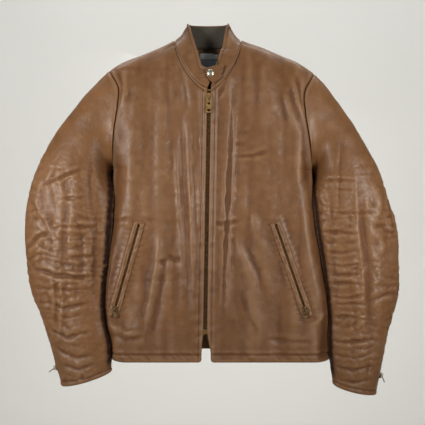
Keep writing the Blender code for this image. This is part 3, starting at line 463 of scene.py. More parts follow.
def body_points(side, face, u, v, inset=0.0):
    """Points of the body: u is 0 at the centre line, 1 below the neck point and 2 at the side, and v runs
    from the hem to the top."""
    u, v = np.broadcast_arrays(np.asarray(u, float), np.asarray(v, float))
    z = np.full(u.shape, HEM_Z)
    neck = side * NECK_HALF_WIDTH
    hem = HEM_Z + (BACK_HEM_LIFT * (1 - (u / 2) ** 4) if face == "back" else 0.0)
    for _ in range(12):
        gap = ZIP_EDGE_GAP + HEM_PARTING[side] * ease((ZIP_BOTTOM[1] - z) / 0.055)
        start = zip_x(z) + side * gap if face == "front" else 0.0
        inner = start + (neck - start) * u
        outer = neck + (EDGE[side](z) - side * inset - neck) * (u - 1)
        x = np.where(u <= 1, inner, outer)
        top = np.where(np.abs(x) < NECK_HALF_WIDTH, neckline_z(x, face), RIDGE(x)) - inset
        z = hem + v * (top - hem)
    return np.stack([x, body_y(side, face, x, z, inset), z], axis=-1)


def armhole_points(side, face, share):
    v = ARMPIT_SHARE + (1 - ARMPIT_SHARE) * (1 - np.cos(math.pi * share)) / 2
    return body_points(side, face, 2.0, v)


def section_points(side, station, face, share):
    values = SECTION[side](station)
    inner, outer, half = values[..., 0:3], values[..., 3:6], values[..., 6]
    toward = -1 if face == "front" else 1
    across = ((1 - np.cos(math.pi * share)) / 2)[..., None]
    bulge = np.clip(np.sin(math.pi * share), 0, 1) ** 0.9
    sag = CUFF_SAG * np.sin(math.pi * share) * ease(station - LAST_STATION + 1)
    points = inner + (outer - inner) * across
    points[..., 1] += toward * half * bulge
    points[..., 2] -= sag
    return points


def sleeve_points(side, station, face, share):
    station, share = np.broadcast_arrays(np.asarray(station, float), np.asarray(share, float))
    start = armhole_points(side, face, share) - section_points(side, np.zeros(share.shape), face, share)
    return section_points(side, station, face, share) + start * (1 - ease(station / 2.0))[..., None]


# ---------------------------------------------------------------- meshes


def grid_normals(grid, closed=False):
    down = np.gradient(grid, axis=0)
    if closed:
        along = (np.roll(grid, -1, axis=1) - np.roll(grid, 1, axis=1)) / 2
    else:
        along = np.gradient(grid, axis=1)
    found = np.cross(down, along)
    return found / np.maximum(np.linalg.norm(found, axis=2, keepdims=True), 1e-12)


def new_object(name, vertices, faces, material, smooth_shaded=True):
    mesh = bpy.data.meshes.new(name)
    mesh.from_pydata([tuple(p) for p in np.asarray(vertices)], [], [tuple(map(int, f)) for f in faces])
    mesh.validate()
    mesh.update()
    made = bpy.data.objects.new(name, mesh)
    bpy.context.scene.collection.objects.link(made)
    mesh.materials.append(material)
    if smooth_shaded:
        mesh.shade_smooth()
    return made


def grid_faces(rows, columns, closed, offset=0):
    i, j = np.meshgrid(np.arange(rows - 1), np.arange(columns if closed else columns - 1), indexing="ij")
    k = (j + 1) % columns
    quads = [i * columns + j, i * columns + k, (i + 1) * columns + k, (i + 1) * columns + j]
    return np.stack(quads, axis=-1).reshape(-1, 4) + offset


def rim_faces(ring_a, ring_b):
    return np.stack([ring_a[:-1], ring_b[:-1], ring_b[1:], ring_a[1:]], axis=-1)


def sheet_object(name, outer, inner, material, closed=False, shade=None):
    """A closed sheet between two grids, outer and inner, with its edges filled. shade is stored per point."""
    rows, columns = outer.shape[:2]
    count = rows * columns
    index = np.arange(count).reshape(rows, columns)
    faces = [grid_faces(rows, columns, closed), grid_faces(rows, columns, closed, count)[:, ::-1]]
    borders = [index[0], index[-1][::-1]]
    if closed:
        borders = [np.r_[b, b[0]] for b in borders]
    else:
        borders += [index[::-1, 0], index[:, -1]]
    for border in borders:
        faces.append(rim_faces(border, border + count))
    points = np.concatenate([outer.reshape(-1, 3), inner.reshape(-1, 3)])
    quads = np.concatenate(faces)
    a, b, c = (points[quads[: len(faces[0]), k]] for k in (0, 1, 2))
    outward = np.cross(b - a, c - a)
    away = (outer - inner).reshape(-1, 3)[quads[: len(faces[0]), 0]]
    if (outward * away).sum() < 0:
        quads = quads[:, ::-1]
    made = new_object(name, points, quads, material)
    if shade is not None:
        for key, values in shade.items():
            both = np.concatenate([values.reshape(-1)] * 2).astype(np.float32)
            made.data.attributes.new(key, "FLOAT", "POINT").data.foreach_set("value", both)
    return made


def assign(piece, body, slot, *replaced):
    """The CAD nodes a piece stands for, the body it moves with, and a slot for its finish, which is not used.
    """
    if replaced:
        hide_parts(*replaced)
    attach(piece, body)


def cut_box(piece, frame, low, high):
    """Cuts a box, given in a zip's own axes, out of a piece."""
    points = [frame @ Vector(corner) for corner in product(*zip(low, high))]
    faces = [(0, 1, 3, 2), (4, 6, 7, 5), (0, 4, 5, 1), (2, 3, 7, 6), (0, 2, 6, 4), (1, 5, 7, 3)]
    cutter = new_object(piece.name + "_cutter", points, faces, piece.data.materials[0])
    modifier = piece.modifiers.new("cut", "BOOLEAN")
    modifier.operation = "DIFFERENCE"
    modifier.object = cutter
    graph = bpy.context.evaluated_depsgraph_get()
    mesh = bpy.data.meshes.new_from_object(piece.evaluated_get(graph))
    piece.modifiers.clear()
    piece.data = mesh
    bpy.data.objects.remove(cutter)


def between(grid, i, j, a, b):
    """The grid's value a share a of the way from row i to the next, and b from column j to the next."""
    return (
        grid[i, j] * (1 - a) * (1 - b) + grid[i + 1, j] * a * (1 - b)
        + grid[i, j + 1] * (1 - a) * b + grid[i + 1, j + 1] * a * b
    )


class Surface:
    """A displaced grid of points that seams and stitches can be laid on."""

    def __init__(self, points, normals):
        self.points, self.normals = points, normals

    def at(self, row, column):
        rows, columns = self.points.shape[:2]
        i = np.clip(np.floor(row).astype(int), 0, rows - 2)
        j = np.clip(np.floor(column).astype(int), 0, columns - 2)
        a, b = (row - i)[:, None], (column - j)[:, None]
        return between(self.points, i, j, a, b), between(self.normals, i, j, a, b)

    def find(self, xs, zs):
        """Rows and columns of the points at (x, z), seen from the front or back."""
        x, z = self.points[..., 0], self.points[..., 2]
        found = []
        for px, pz in zip(xs, zs):
            i, j = np.unravel_index(np.argmin((x - px) ** 2 + (z - pz) ** 2), x.shape)
            i, j = float(i), float(j)
            for _ in range(6):
                r, c = int(np.clip(i, 0, x.shape[0] - 2)), int(np.clip(j, 0, x.shape[1] - 2))
                a, b = i - r, j - c
                missing = [px - between(x, r, c, a, b), pz - between(z, r, c, a, b)]
                down = np.array([x[r + 1, c] - x[r, c], z[r + 1, c] - z[r, c]])
                over = np.array([x[r, c + 1] - x[r, c], z[r, c + 1] - z[r, c]])
                step = np.linalg.lstsq(np.stack([down, over], 1), missing, rcond=None)[0]
                i = float(np.clip(i + np.clip(step[0], -3, 3), 0, x.shape[0] - 1.001))
                j = float(np.clip(j + np.clip(step[1], -3, 3), 0, x.shape[1] - 1.001))
            found.append((i, j))
        found = np.array(found)
        return found[:, 0], found[:, 1]


# ---------------------------------------------------------------- materials


def feed(tree, socket, value):
    """Links a value that comes from a node, and sets one that doesn't."""
    if isinstance(value, bpy.types.NodeSocket):
        tree.links.new(value, socket)
    else:
        socket.default_value = value


def node_material(name):
    """A new material, its node tree, the object's own coordinates, its shader, and a way to add nodes."""
    made = bpy.data.materials.new(name)
    made.use_nodes = True
    tree = made.node_tree
    shader = tree.nodes["Principled BSDF"]
    place = tree.nodes.new("ShaderNodeTexCoord").outputs["Object"]

    def add(kind, **inputs):
        node = tree.nodes.new(kind)
        for key, value in inputs.items():
            feed(tree, node.inputs[key], value)
        return node

    return made, tree, place, shader, add


def ramp(tree, value, stops):
    node = tree.nodes.new("ShaderNodeValToRGB")
    tree.links.new(value, node.inputs[0])
    elements = node.color_ramp.elements
    while len(elements) < len(stops):
        elements.new(0.5)
    for element, (at, colour) in zip(elements, stops):
        element.position = at
        element.color = (*colour, 1) if len(colour) == 3 else colour
    return node.outputs[0]


def mixed(tree, share, a, b, blend="MIX"):
    node = tree.nodes.new("ShaderNodeMix")
    node.data_type = "RGBA"
    node.blend_type = blend
    for index, value in ((0, share), (6, a), (7, b)):
        feed(tree, node.inputs[index], value)
    return node.outputs[2]


def grey(value):
    return (value, value, value)


def attribute(tree, name):
    node = tree.nodes.new("ShaderNodeAttribute")
    node.attribute_name = name
    return node.outputs["Fac"]


def leather_material(name, tint=1.0):
    """Waxy brown cowhide: pebbled grain and fine cracks, with painted shade in creases, crevices and seam
    grooves, and paler folds that are partly rubbed wear and partly painted highlight.
    """
    made, tree, place, shader, add = node_material(name)
    broad = add("ShaderNodeTexNoise", Vector=place, Scale=5.0, Detail=3.0, Roughness=0.55).outputs["Fac"]
    patches = add("ShaderNodeTexNoise", Vector=place, Scale=34.0, Detail=5.0, Roughness=0.65).outputs["Fac"]
    base = ramp(tree, broad, [(at, tuple(tint * c for c in brown)) for at, brown in LEATHER_BROWNS])
    mottle = ramp(tree, patches, [(0.30, grey(0.80)), (0.55, grey(1.0)), (0.75, grey(1.16))])
    base = mixed(tree, 0.75, base, mottle, "MULTIPLY")
    streaks = add("ShaderNodeMapping", Vector=place, Scale=(95.0, 60.0, 9.0)).outputs[0]
    streaks = add("ShaderNodeTexNoise", Vector=streaks, Scale=1.0, Detail=4.0, Roughness=0.6).outputs["Fac"]
    streaks = ramp(tree, streaks, [(0.38, grey(0.86)), (0.62, grey(1.10))])
    base = mixed(tree, 0.30, base, streaks, "MULTIPLY")
    painted_shade = attribute(tree, "painted_shade")
    ridge = attribute(tree, "ridge")
    # Painted shade: darker in creases, crevices and seam grooves and towards the front's hem, near black in
    # the crevices beside the sleeves.
    dark = ramp(tree, painted_shade, [
        (0.0, grey(1.0)), (0.35, (0.90, 0.86, 0.82)), (0.80, (0.66, 0.57, 0.49)), (1.0, (0.12, 0.085, 0.060)),
    ])
    base = mixed(tree, 1.0, base, dark, "MULTIPLY")
    # Paler brown on the folds: partly rubbed wear, partly painted highlight.
    rubbed_and_highlight = tree.nodes.new("ShaderNodeMath")
    rubbed_and_highlight.operation = "MULTIPLY"
    tree.links.new(ridge, rubbed_and_highlight.inputs[0])
    rubbed_and_highlight.inputs[1].default_value = 0.5
    base = mixed(tree, rubbed_and_highlight.outputs[0], base, (0.31, 0.175, 0.090, 1))
    tree.links.new(base, shader.inputs["Base Color"])

    cells = add("ShaderNodeTexVoronoi", Vector=place, Scale=620.0, Randomness=0.9).outputs["Distance"]
    fine = add("ShaderNodeTexNoise", Vector=place, Scale=380.0, Detail=6.0, Roughness=0.7).outputs["Fac"]
    cracks = tree.nodes.new("ShaderNodeTexVoronoi")
    cracks.feature = "DISTANCE_TO_EDGE"
    warp = add("ShaderNodeTexNoise", Vector=place, Scale=70.0, Detail=3.0).outputs["Color"]
    warped = mixed(tree, 0.012, place, warp)
    tree.links.new(warped, cracks.inputs["Vector"])
    cracks.inputs["Scale"].default_value = 130.0
    lines = ramp(tree, cracks.outputs["Distance"], [(0.0, grey(0.0)), (0.09, grey(1.0))])
    wrinkle = add("ShaderNodeTexNoise", Vector=place, Scale=85.0, Detail=4.0, Roughness=0.6, Distortion=0.9)
    height = mixed(tree, 0.5, cells, fine)
    height = mixed(tree, 0.18, height, lines)
    grain = add("ShaderNodeBump", Strength=0.28, Distance=0.0005, Height=height).outputs[0]
    soft = add("ShaderNodeBump", Strength=0.42, Distance=0.0022, Height=wrinkle.outputs["Fac"], Normal=grain)
    tree.links.new(soft.outputs[0], shader.inputs["Normal"])

    gloss = add("ShaderNodeTexNoise", Vector=place, Scale=48.0, Detail=5.0, Roughness=0.7).outputs["Fac"]
    rough = ramp(tree, gloss, [(0.30, grey(0.32)), (0.70, grey(0.50))])
    rough = mixed(tree, painted_shade, rough, (0.68, 0.68, 0.68, 1))
    tree.links.new(rough, shader.inputs["Roughness"])
    shader.inputs["Specular IOR Level"].default_value = 0.30
    shader.inputs["Coat Weight"].default_value = 0.07
    shader.inputs["Coat Roughness"].default_value = 0.30
    return made


def cloth_material(name, dark, light, thread=0.0011):
    """Plain woven cloth: crossing threads, with slow changes of shade."""
    made, tree, place, shader, add = node_material(name)
    waves = []
    for direction in ("X", "Z"):
        wave = tree.nodes.new("ShaderNodeTexWave")
        wave.bands_direction = direction
        tree.links.new(place, wave.inputs["Vector"])
        wave.inputs["Scale"].default_value = 0.314 / thread
        wave.inputs["Distortion"].default_value = 0.6
        wave.inputs["Detail"].default_value = 1.0
        waves.append(wave.outputs["Fac"])
    weave = mixed(tree, 1.0, waves[0], waves[1], "DIFFERENCE")
    patches = add("ShaderNodeTexNoise", Vector=place, Scale=55.0, Detail=5.0, Roughness=0.65).outputs["Fac"]
    shade = mixed(tree, 0.5, weave, patches)
    tree.links.new(ramp(tree, shade, [(0.25, dark), (0.75, light)]), shader.inputs["Base Color"])
    height = add("ShaderNodeBump", Strength=0.6, Distance=0.0002, Height=weave).outputs[0]
    folds = add("ShaderNodeTexNoise", Vector=place, Scale=60.0, Detail=3.0).outputs["Fac"]
    soft = add("ShaderNodeBump", Strength=0.5, Distance=0.003, Height=folds, Normal=height).outputs[0]
    tree.links.new(soft, shader.inputs["Normal"])
    shader.inputs["Roughness"].default_value = 0.85
    shader.inputs["Sheen Weight"].default_value = 0.25
    shader.inputs["Sheen Roughness"].default_value = 0.5
    return made


def metal_material(name, bright, tarnish, roughness, spots):
    """Cast and rubbed metal: bright where handled, with darker tarnish and fine scratches."""
    made, tree, place, shader, add = node_material(name)
    stain = add("ShaderNodeTexNoise", Vector=place, Scale=spots, Detail=6.0, Roughness=0.7).outputs["Fac"]
    tree.links.new(ramp(tree, stain, [(0.38, tarnish), (0.60, bright)]), shader.inputs["Base Color"])
    rough = ramp(tree, stain, [(0.35, grey(roughness + 0.25)), (0.65, grey(roughness))])
    tree.links.new(rough, shader.inputs["Roughness"])
    scratch = add("ShaderNodeMapping", Vector=place, Scale=(2600.0, 900.0, 500.0)).outputs[0]
    scratch = add("ShaderNodeTexNoise", Vector=scratch, Scale=1.0, Detail=2.0).outputs["Fac"]
    height = add("ShaderNodeBump", Strength=0.25, Distance=0.0001, Height=scratch).outputs[0]
    tree.links.new(height, shader.inputs["Normal"])
    shader.inputs["Metallic"].default_value = 1.0
    return made


def thread_material():
    made, tree, place, shader, add = node_material("thread")
    twist = add("ShaderNodeTexNoise", Vector=place, Scale=900.0, Detail=3.0).outputs["Fac"]
    colour = ramp(tree, twist, [(0.3, (0.085, 0.040, 0.018)), (0.7, (0.20, 0.105, 0.050))])
    tree.links.new(colour, shader.inputs["Base Color"])
    height = add("ShaderNodeBump", Strength=0.5, Distance=0.0001, Height=twist).outputs[0]
    tree.links.new(height, shader.inputs["Normal"])
    shader.inputs["Roughness"].default_value = 0.7
    return made


def wall_material(name, colour):
    made, tree, place, shader, add = node_material(name)
    patches = add("ShaderNodeTexNoise", Vector=place, Scale=1.2, Detail=2.0).outputs["Fac"]
    darker = tuple(c * 0.97 for c in colour)
    tree.links.new(ramp(tree, patches, [(0.3, darker), (0.7, colour)]), shader.inputs["Base Color"])
    shader.inputs["Roughness"].default_value = 0.9
    return made


# ---------------------------------------------------------------- wrinkled panels


def shade_of(height):
    """How deep in creases and how high on folds each point is, for the leather's colour: painted shade in the
    creases, and paler folds that are partly rubbed wear and partly painted highlight.
    """
    slow = height.copy()
    for _ in range(16):
        slow[1:-1] = (slow[:-2] + slow[1:-1] + slow[2:]) / 3
        slow[:, 1:-1] = (slow[:, :-2] + slow[:, 1:-1] + slow[:, 2:]) / 3
    relief = height - slow
    painted_shade = np.clip(-relief / 0.0014, 0, 0.80)
    ridge = np.clip(relief / 0.0010, 0, 1)
    return {"painted_shade": painted_shade, "ridge": ridge}


def edge_fade(rows, columns, spans, reach):
    """From 0 at each named border to 1 further in; spans are the grid's lengths along rows and columns."""
    i = np.arange(rows)[:, None] / (rows - 1) * spans[0]
    j = np.arange(columns)[None, :] / (columns - 1) * spans[1]
    near = np.minimum(np.minimum(i, spans[0] - i), np.minimum(j, spans[1] - j))
    return ease(near / reach), near


def body_height(points, side, face):
    """Folds and creases of a body panel."""
    seed = {(RIGHT, "front"): 11, (LEFT, "front"): 23, (RIGHT, "back"): 37, (LEFT, "back"): 37}[side, face]
    total = layered(points, seed, (
        (0.0030, (0.030, 0.06, 0.210)), (0.0016, (0.014, 0.04, 0.110)), (0.0010, 0.034), (0.0004, 0.010),
    ))
    across = points[..., 2] / 0.052 + 0.9 * noise(points, (0.10, 0.10, 0.05), seed + 4)
    patch = ease(1.1 * noise(points, (0.09, 0.08, 0.06), seed + 5))
    total = total + 0.0010 * patch * billow(across, 0.35)
    low = ease((-0.43 - points[..., 2]) / 0.10)
    total = total + 0.0014 * low * noise(points, (0.035, 0.05, 0.075), seed + 6)
    if face == "front":
        total = total + 1.05 * creased(points, FRONT_CREASES[side])
    else:
        sag = ease((points[..., 2] + 0.60) / 0.10) * ease((-0.30 - points[..., 2]) / 0.10)
        total = total + 0.0022 * sag * noise(points, (0.16, 0.08, 0.028), seed + 7)
    return total


def seam_groove(distance):
    """The roll of leather beside a seam."""
    return -0.0011 * bump(distance, 0.0013) + 0.0007 * bump(distance - 0.0042, 0.0022)


def beside_pocket(side, x, z):
    """How far down the pocket slit each point lies, how far beside it, and 1 where the slit is near."""
    top, bottom = POCKET_LINE[side]
    run = (bottom - top)[[0, 2]]
    length = math.hypot(*run)
    down = ((x - top[0]) * run[0] + (z - top[2]) * run[1]) / length
    away = ((x - top[0]) * run[1] - (z - top[2]) * run[0]) / length
    return down, away, ease((down + 0.022) / 0.012) * ease((length + 0.024 - down) / 0.012)


def front_panel(side, leather):
    word = SIDES[side]
    rows, columns = 320, 112
    v = np.linspace(0, 1, rows)[:, None]
    u = 2 * np.linspace(0, 1, columns)[None, :]
    base = body_points(side, "front", u, v)
    corner = 0.0055 * (1 - rise(np.abs(base[..., 0] - base[:, :1, 0]), 0.008)) * (1 - ease(v / 0.05))
    base[..., 2] += corner
    normals = grid_normals(base)
    normals *= -np.sign(normals[..., 1].mean())
    fade, near = edge_fade(rows, columns, (PANEL_LENGTH, 0.21), BLEND_BAND)
    x, z = base[..., 0], base[..., 2]
    by_zip = 1 - ease((np.abs(x - zip_x(z)) - 0.016) / 0.008)
    height = np.maximum(body_height(base, side, "front") * fade, -0.0050 + 0.0048 * by_zip)
    facing = np.abs(np.abs(x - zip_x(z)) - FACING_SEAM)
    height += -0.0009 * bump(facing, 0.0016) + 0.0005 * bump(facing - 0.0045, 0.0026)
    hem = np.abs(z - HEM_Z - HEM_SEAM)
    height += -0.0016 * bump(hem, 0.0018) + 0.0006 * bump(hem - 0.0055, 0.0030)
    slant = np.stack([x + 0.9 * z, 0 * x, z * 0.2], axis=-1)
    slanted = noise(slant, (0.0065, 1, 0.05), 64) + 0.7 * noise(slant, (0.016, 1, 0.05), 65)
    height += 0.0013 * slanted * bump(z - HEM_Z - 0.009, 0.010)
    neck_away = (1 - v) * PANEL_LENGTH * np.ones_like(u)
    inside = ease((1.15 - u) / 0.15)
    rolled = 0.0012 * bump(neck_away - 0.0045, 0.003) - 0.0014 * bump(neck_away - 0.0090, 0.0018)
    height += inside * rolled
    tuck = noise(base, (0.03, 0.05, 0.011), 63)
    height += 0.0008 * tuck * bump(facing, 0.010)
    height += seam_groove(near) * (near < BLEND_BAND)
    to_side = np.abs(EDGE[side](z) - x)
    height += 0.0012 * bump(to_side - 0.006, 0.006) * ease((-0.20 - z) / 0.08) * ease((z - HEM_Z) / 0.03)
    slit_down, away, beside = beside_pocket(side, x, z)
    keep = 1 - beside * (1 - ease((np.abs(away) - 0.012) / 0.010))
    height = height * keep
    puckers = billow(slit_down / 0.0125 + 0.6 * noise(base, 0.02, 71), 0.6)
    puckers = puckers * bump(np.abs(away) - 0.016, 0.006)
    height += 0.0010 * beside * puckers
    outer = base + normals * height[..., None]
    inner = base + normals * (height - LEATHER_THICKNESS)[..., None]
    shade = shade_of(height)
    # Painted shade: full in the crevice beside the sleeve, along the armhole seam, and as a wide shadow of the
    # sleeve on the body's side.
    beside_sleeve = ease((0.88 - v) / 0.16) * ease((z - HEM_Z) / 0.02)
    painted_shade_mask = (1 - ease((to_side - CREVICE[side]) / 0.0070)) * beside_sleeve
    armhole = ease((v - 0.5) / 0.1) * ease((u - 1.9) / 0.05)
    painted_shade_mask = np.maximum(painted_shade_mask, 0.72 * bump(near, 0.0055) * armhole)
    painted_shade_mask = np.maximum(painted_shade_mask, 0.80 * bump(to_side, 0.024) * beside_sleeve)
    # Darker towards the hem: painted shade where less light falls.
    painted_shade_mask = np.maximum(painted_shade_mask, 0.34 * ease((-0.36 - z) / 0.22))
    # Painted shade in the seam grooves by the facing, the hem, the neck and the panel's edges.
    seams = 0.62 * np.maximum(bump(facing, 0.0013), bump(hem, 0.0014))
    seams = np.maximum(seams, 0.7 * inside * bump(neck_away - 0.0090, 0.0016))
    seams = np.maximum(seams, 0.8 * bump(near, 0.0016))
    shade["painted_shade"] = np.maximum.reduce([shade["painted_shade"], painted_shade_mask, seams])
    made = sheet_object(f"{word}_front_leather", outer, inner, leather, shade=shade)
    frame, slit = pocket_frame(side)
    cut_box(made, frame, (-0.0046, -0.02, -slit), (0.0046, 0.02, 0.0))
    assign(made, "torso", "leather", f"{word}_front")
    return Surface(outer, normals)


def back_panel(leather):
    rows, half = 300, 104
    v = np.linspace(0, 1, rows)[:, None]
    u = 2 * np.linspace(0, 1, half)[None, :]
    left = body_points(LEFT, "back", u, v)
    right = body_points(RIGHT, "back", u, v)
    base = np.concatenate([right[:, :0:-1], left], axis=1)
    normals = grid_normals(base)
    normals *= np.sign(normals[..., 1].mean())
    columns = base.shape[1]
    fade, near = edge_fade(rows, columns, (PANEL_LENGTH, 0.42), BLEND_BAND)
    height = body_height(base, RIGHT, "back") * fade
    z = base[..., 2]
    height += -0.0010 * bump(z - HEM_Z - HEM_SEAM - 0.010, 0.0014) + seam_groove(near) * (near < BLEND_BAND)
    outer = base + normals * height[..., None]
    inner = base + normals * (height - LEATHER_THICKNESS)[..., None]
    made = sheet_object("back_leather", outer, inner, leather, shade=shade_of(height))
    assign(made, "torso", "leather", "back")
    return Surface(outer, normals)


def sleeve_ring_grid(side, stations, count):
    """Rings round the sleeve: the front from the inner to the outer edge, then the back on the way home."""
    share = np.linspace(0, 1, count)[None, :]
    front = sleeve_points(side, stations[:, None], "front", share)
    back = sleeve_points(side, stations[:, None], "back", share[:, ::-1])
    return np.concatenate([front, back[:, 1:-1]], axis=1)


def even_stations(side, count):
    """Stations evenly spaced along the middle of the sleeve's front."""
    coarse = np.linspace(0, LAST_STATION, 120)
    middle = sleeve_points(side, coarse, "front", 0.6)
    length = np.r_[0, np.cumsum(np.linalg.norm(np.diff(middle, axis=0), axis=1))]
    return np.interp(np.linspace(0, length[-1], count), length, coarse), length[-1]


def sleeve_height(side, base, normals, along):
    """Folds and creases of a sleeve; along is the distance from the armhole."""
    seed = 101 if side == RIGHT else 151
    front = ease((0.25 - normals[..., 1]) / 0.5)
    total = layered(base, seed, ((0.0018, (0.045, 0.05, 0.12)), (0.0008, 0.022)))
    bend = ease((along - 0.10) / 0.12)
    lines = base[..., 2] / 0.0185 + 1.25 * noise(tilted(base, 20), (0.050, 0.055, 0.036), seed + 2)
    cross = base[..., 0] / 0.034 + 0.9 * noise(tilted(base, -15), (0.045, 0.05, 0.09), seed + 3)
    patch = 0.15 + 0.85 * ease(0.5 + 1.1 * noise(tilted(base, 35), (0.040, 0.06, 0.050), seed + 4))
    valleys = creased(base, SLEEVE_VALLEYS[side])
    patch = patch * (1 - 0.85 * np.clip(-valleys / 0.0016, 0, 1))
    total = total + bend * patch * (0.0014 * billow(lines, 0.5) + 0.0011 * billow(cross, 0.5))
    for height, degrees, size, step in (
        (0.0008, 14, (0.013, 0.02, 0.006), 5), (0.0007, -22, (0.0060, 0.012, 0.013), 6),
        (0.0006, 48, (0.0050, 0.010, 0.011), 9),
    ):
        total = total + height * bend * patch * noise(tilted(base, degrees), size, seed + step)
    total = total + 0.0003 * bend * noise(tilted(base, 33), 0.0042, seed + 8)
    total = total + front * (0.85 * creased(base, SLEEVE_CREASES[side]) + valleys)
    rear = 1 - front
    deep = base[..., 2] / 0.034 + 0.8 * noise(base, (0.08, 0.06, 0.05), seed + 7)
    total = total + rear * bend * 0.0018 * billow(deep, 0.4)
    return total


def sleeve_panel(side, leather):
    word = SIDES[side]
    count = 105
    stations, length = even_stations(side, 330)
    base = sleeve_ring_grid(side, stations, count)
    normals = grid_normals(base, closed=True)
    centres = base.mean(axis=1, keepdims=True)
    normals *= np.sign((normals * (base - centres)).sum())
    along = np.linspace(0, length, len(stations))[:, None] * np.ones(base.shape[1])[None, :]
    cuff = length - along
    ends = ease(along / 0.014) * ease(cuff / 0.008)
    height = sleeve_height(side, base, normals, along) * ends
    height = height + seam_groove(along) * (along < BLEND_BAND)
    height = height - 0.0015 * bump(cuff - CUFF_SEAM, 0.0016) + 0.0006 * bump(cuff - 0.004, 0.003)
    height = height + 0.0010 * noise(base, (0.008, 0.008, 0.03), 78) * bump(cuff - 0.006, 0.010)
    cells = np.arange(base.shape[1])[None, :]
    outer_edge = np.abs(cells - (count - 1)) * 0.0026
    inner_edge = np.minimum(cells, base.shape[1] - cells) * 0.0026
    across = np.abs(base[..., 0] - base[:, :1, 0])
    puckers = billow(along / 0.009 + 0.5 * noise(base, 0.02, 77), 0.6) * ease((along - 0.08) / 0.05)
    height = height + 0.0009 * puckers * bump(outer_edge - 0.004, 0.006)
    height = height - 0.0010 * bump(outer_edge, 0.0030) - 0.0008 * bump(inner_edge, 0.0030)
    low_edge = ease((along - 0.02) / 0.06) * ease(cuff / 0.10)
    height = height * (1 - 0.6 * bump(inner_edge, 0.010))
    height = height + 0.0034 * low_edge * bump(inner_edge - 0.002, 0.010)
    height = np.maximum(height, -0.0036)
    # Painted shade in the crevice between sleeve and body, and along the armhole seam.
    shaded = (1 - ease((across - CREVICE[side]) / 0.0075)) * ease((along - 0.03) / 0.08) * ease(cuff / 0.03)
    shaded = np.maximum(shaded, 0.8 * bump(along, 0.0016))
    shaded = np.maximum(shaded, 0.70 * bump(along, 0.0075) * ease((-0.080 - base[..., 2]) / 0.04))
    outer = base + normals * height[..., None]
    inner = base + normals * (height - LEATHER_THICKNESS)[..., None]
    closed_height = np.concatenate([height, height[:, :8]], axis=1)
    shade = {key: value[:, : base.shape[1]] for key, value in shade_of(closed_height).items()}
    shade["painted_shade"] = np.maximum(shade["painted_shade"], shaded)
    made = sheet_object(f"{word}_sleeve_leather", outer, inner, leather, closed=True, shade=shade)
    frame, slit = cuff_frame(side)
    cut_box(made, frame, (-0.0030, -0.010, -slit - 0.03), (0.0030, 0.006, 0.0))
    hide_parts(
        f"{word}_top_sleeve_upper", f"{word}_top_sleeve_forearm",
        f"{word}_under_sleeve_upper", f"{word}_under_sleeve_forearm",
    )
    bend_at_elbow(made)
    return Surface(outer, normals), count


def bend_at_elbow(piece):
    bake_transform(piece)


# ---------------------------------------------------------------- zips' own axes


def zip_frame(top, down, normal):
    """A zip's own axes: X across it, Y into the jacket, Z up along it."""
    up = -Vector(down).normalized()
    normal = Vector(normal)
    inward = (-normal - up * (-normal).dot(up)).normalized()
    frame = Matrix((inward.cross(up), inward, up)).transposed().to_4x4()
    frame.translation = Vector(top)
    return frame


def pocket_frame(side):
    top, bottom = (Vector(p) for p in POCKET_LINE[side])
    return zip_frame(top, bottom - top, (0, -1, 0)), (bottom - top).length


def cuff_frame(side):
    ends = [Vector(sleeve_points(side, s, "front", 1.0)) for s in (CUFF_ZIP_STATION, float(LAST_STATION))]
    return zip_frame(ends[0], ends[1] - ends[0], (side, 0, 0)), (ends[1] - ends[0]).length


def front_zip_frame():
    top, bottom = (Vector((x, float(front_y(z)), z)) for x, z in (ZIP_TOP, ZIP_BOTTOM))
    return zip_frame(top, bottom - top, (0, -1, 0)), (bottom - top).length


# ---------------------------------------------------------------- stitches


def stitch_row(name, points, normals, body, material, pitch=0.0036, length=0.0026, radius=0.00033):
    """A row of separate stitches along a path, each a small spindle of thread."""
    points, normals = np.asarray(points), np.asarray(normals)
    reach = np.r_[0, np.cumsum(np.linalg.norm(np.diff(points, axis=0), axis=1))]
    count = int(reach[-1] / pitch)
    starts = (np.arange(count) + 0.5) * reach[-1] / count
    turn = np.arange(6) * math.pi / 3
    vertices, faces = [], []
    for at in starts:
        ends = [[np.interp(at + s * length / 2, reach, points[:, k]) for k in range(3)] for s in (-1, 1)]
        up = np.array([np.interp(at, reach, normals[:, k]) for k in range(3)])
        up /= np.linalg.norm(up)
        low, high = np.array(ends)
        along = (high - low) / np.linalg.norm(high - low)
        side = np.cross(up, along)
        first = len(vertices)
        vertices.append(low - up * radius)
        for share, size in ((0.12, 0.8), (0.5, 1.0), (0.88, 0.8)):
            centre = low + (high - low) * share + up * STITCH_LIFT
            ring = [centre + (side * math.cos(a) + up * math.sin(a)) * radius * size for a in turn]
            vertices.extend(ring)
        vertices.append(high - up * radius)
        last = first + 19
        for k in range(6):
            n = (k + 1) % 6
            faces.append((first, first + 1 + n, first + 1 + k))
            for ring in (0, 1):
                a = first + 1 + ring * 6
                faces.append((a + k, a + n, a + 6 + n, a + 6 + k))
            faces.append((last, first + 13 + k, first + 13 + n))
    assign(new_object(name, vertices, faces, material), body, "leather")


def stitched(name, surface, xs, zs, material, **options):
    """A row of stitches on the body, through the points at (x, z)."""
    stitch_row(name, *surface.at(*surface.find(xs, zs)), "torso", material, **options)


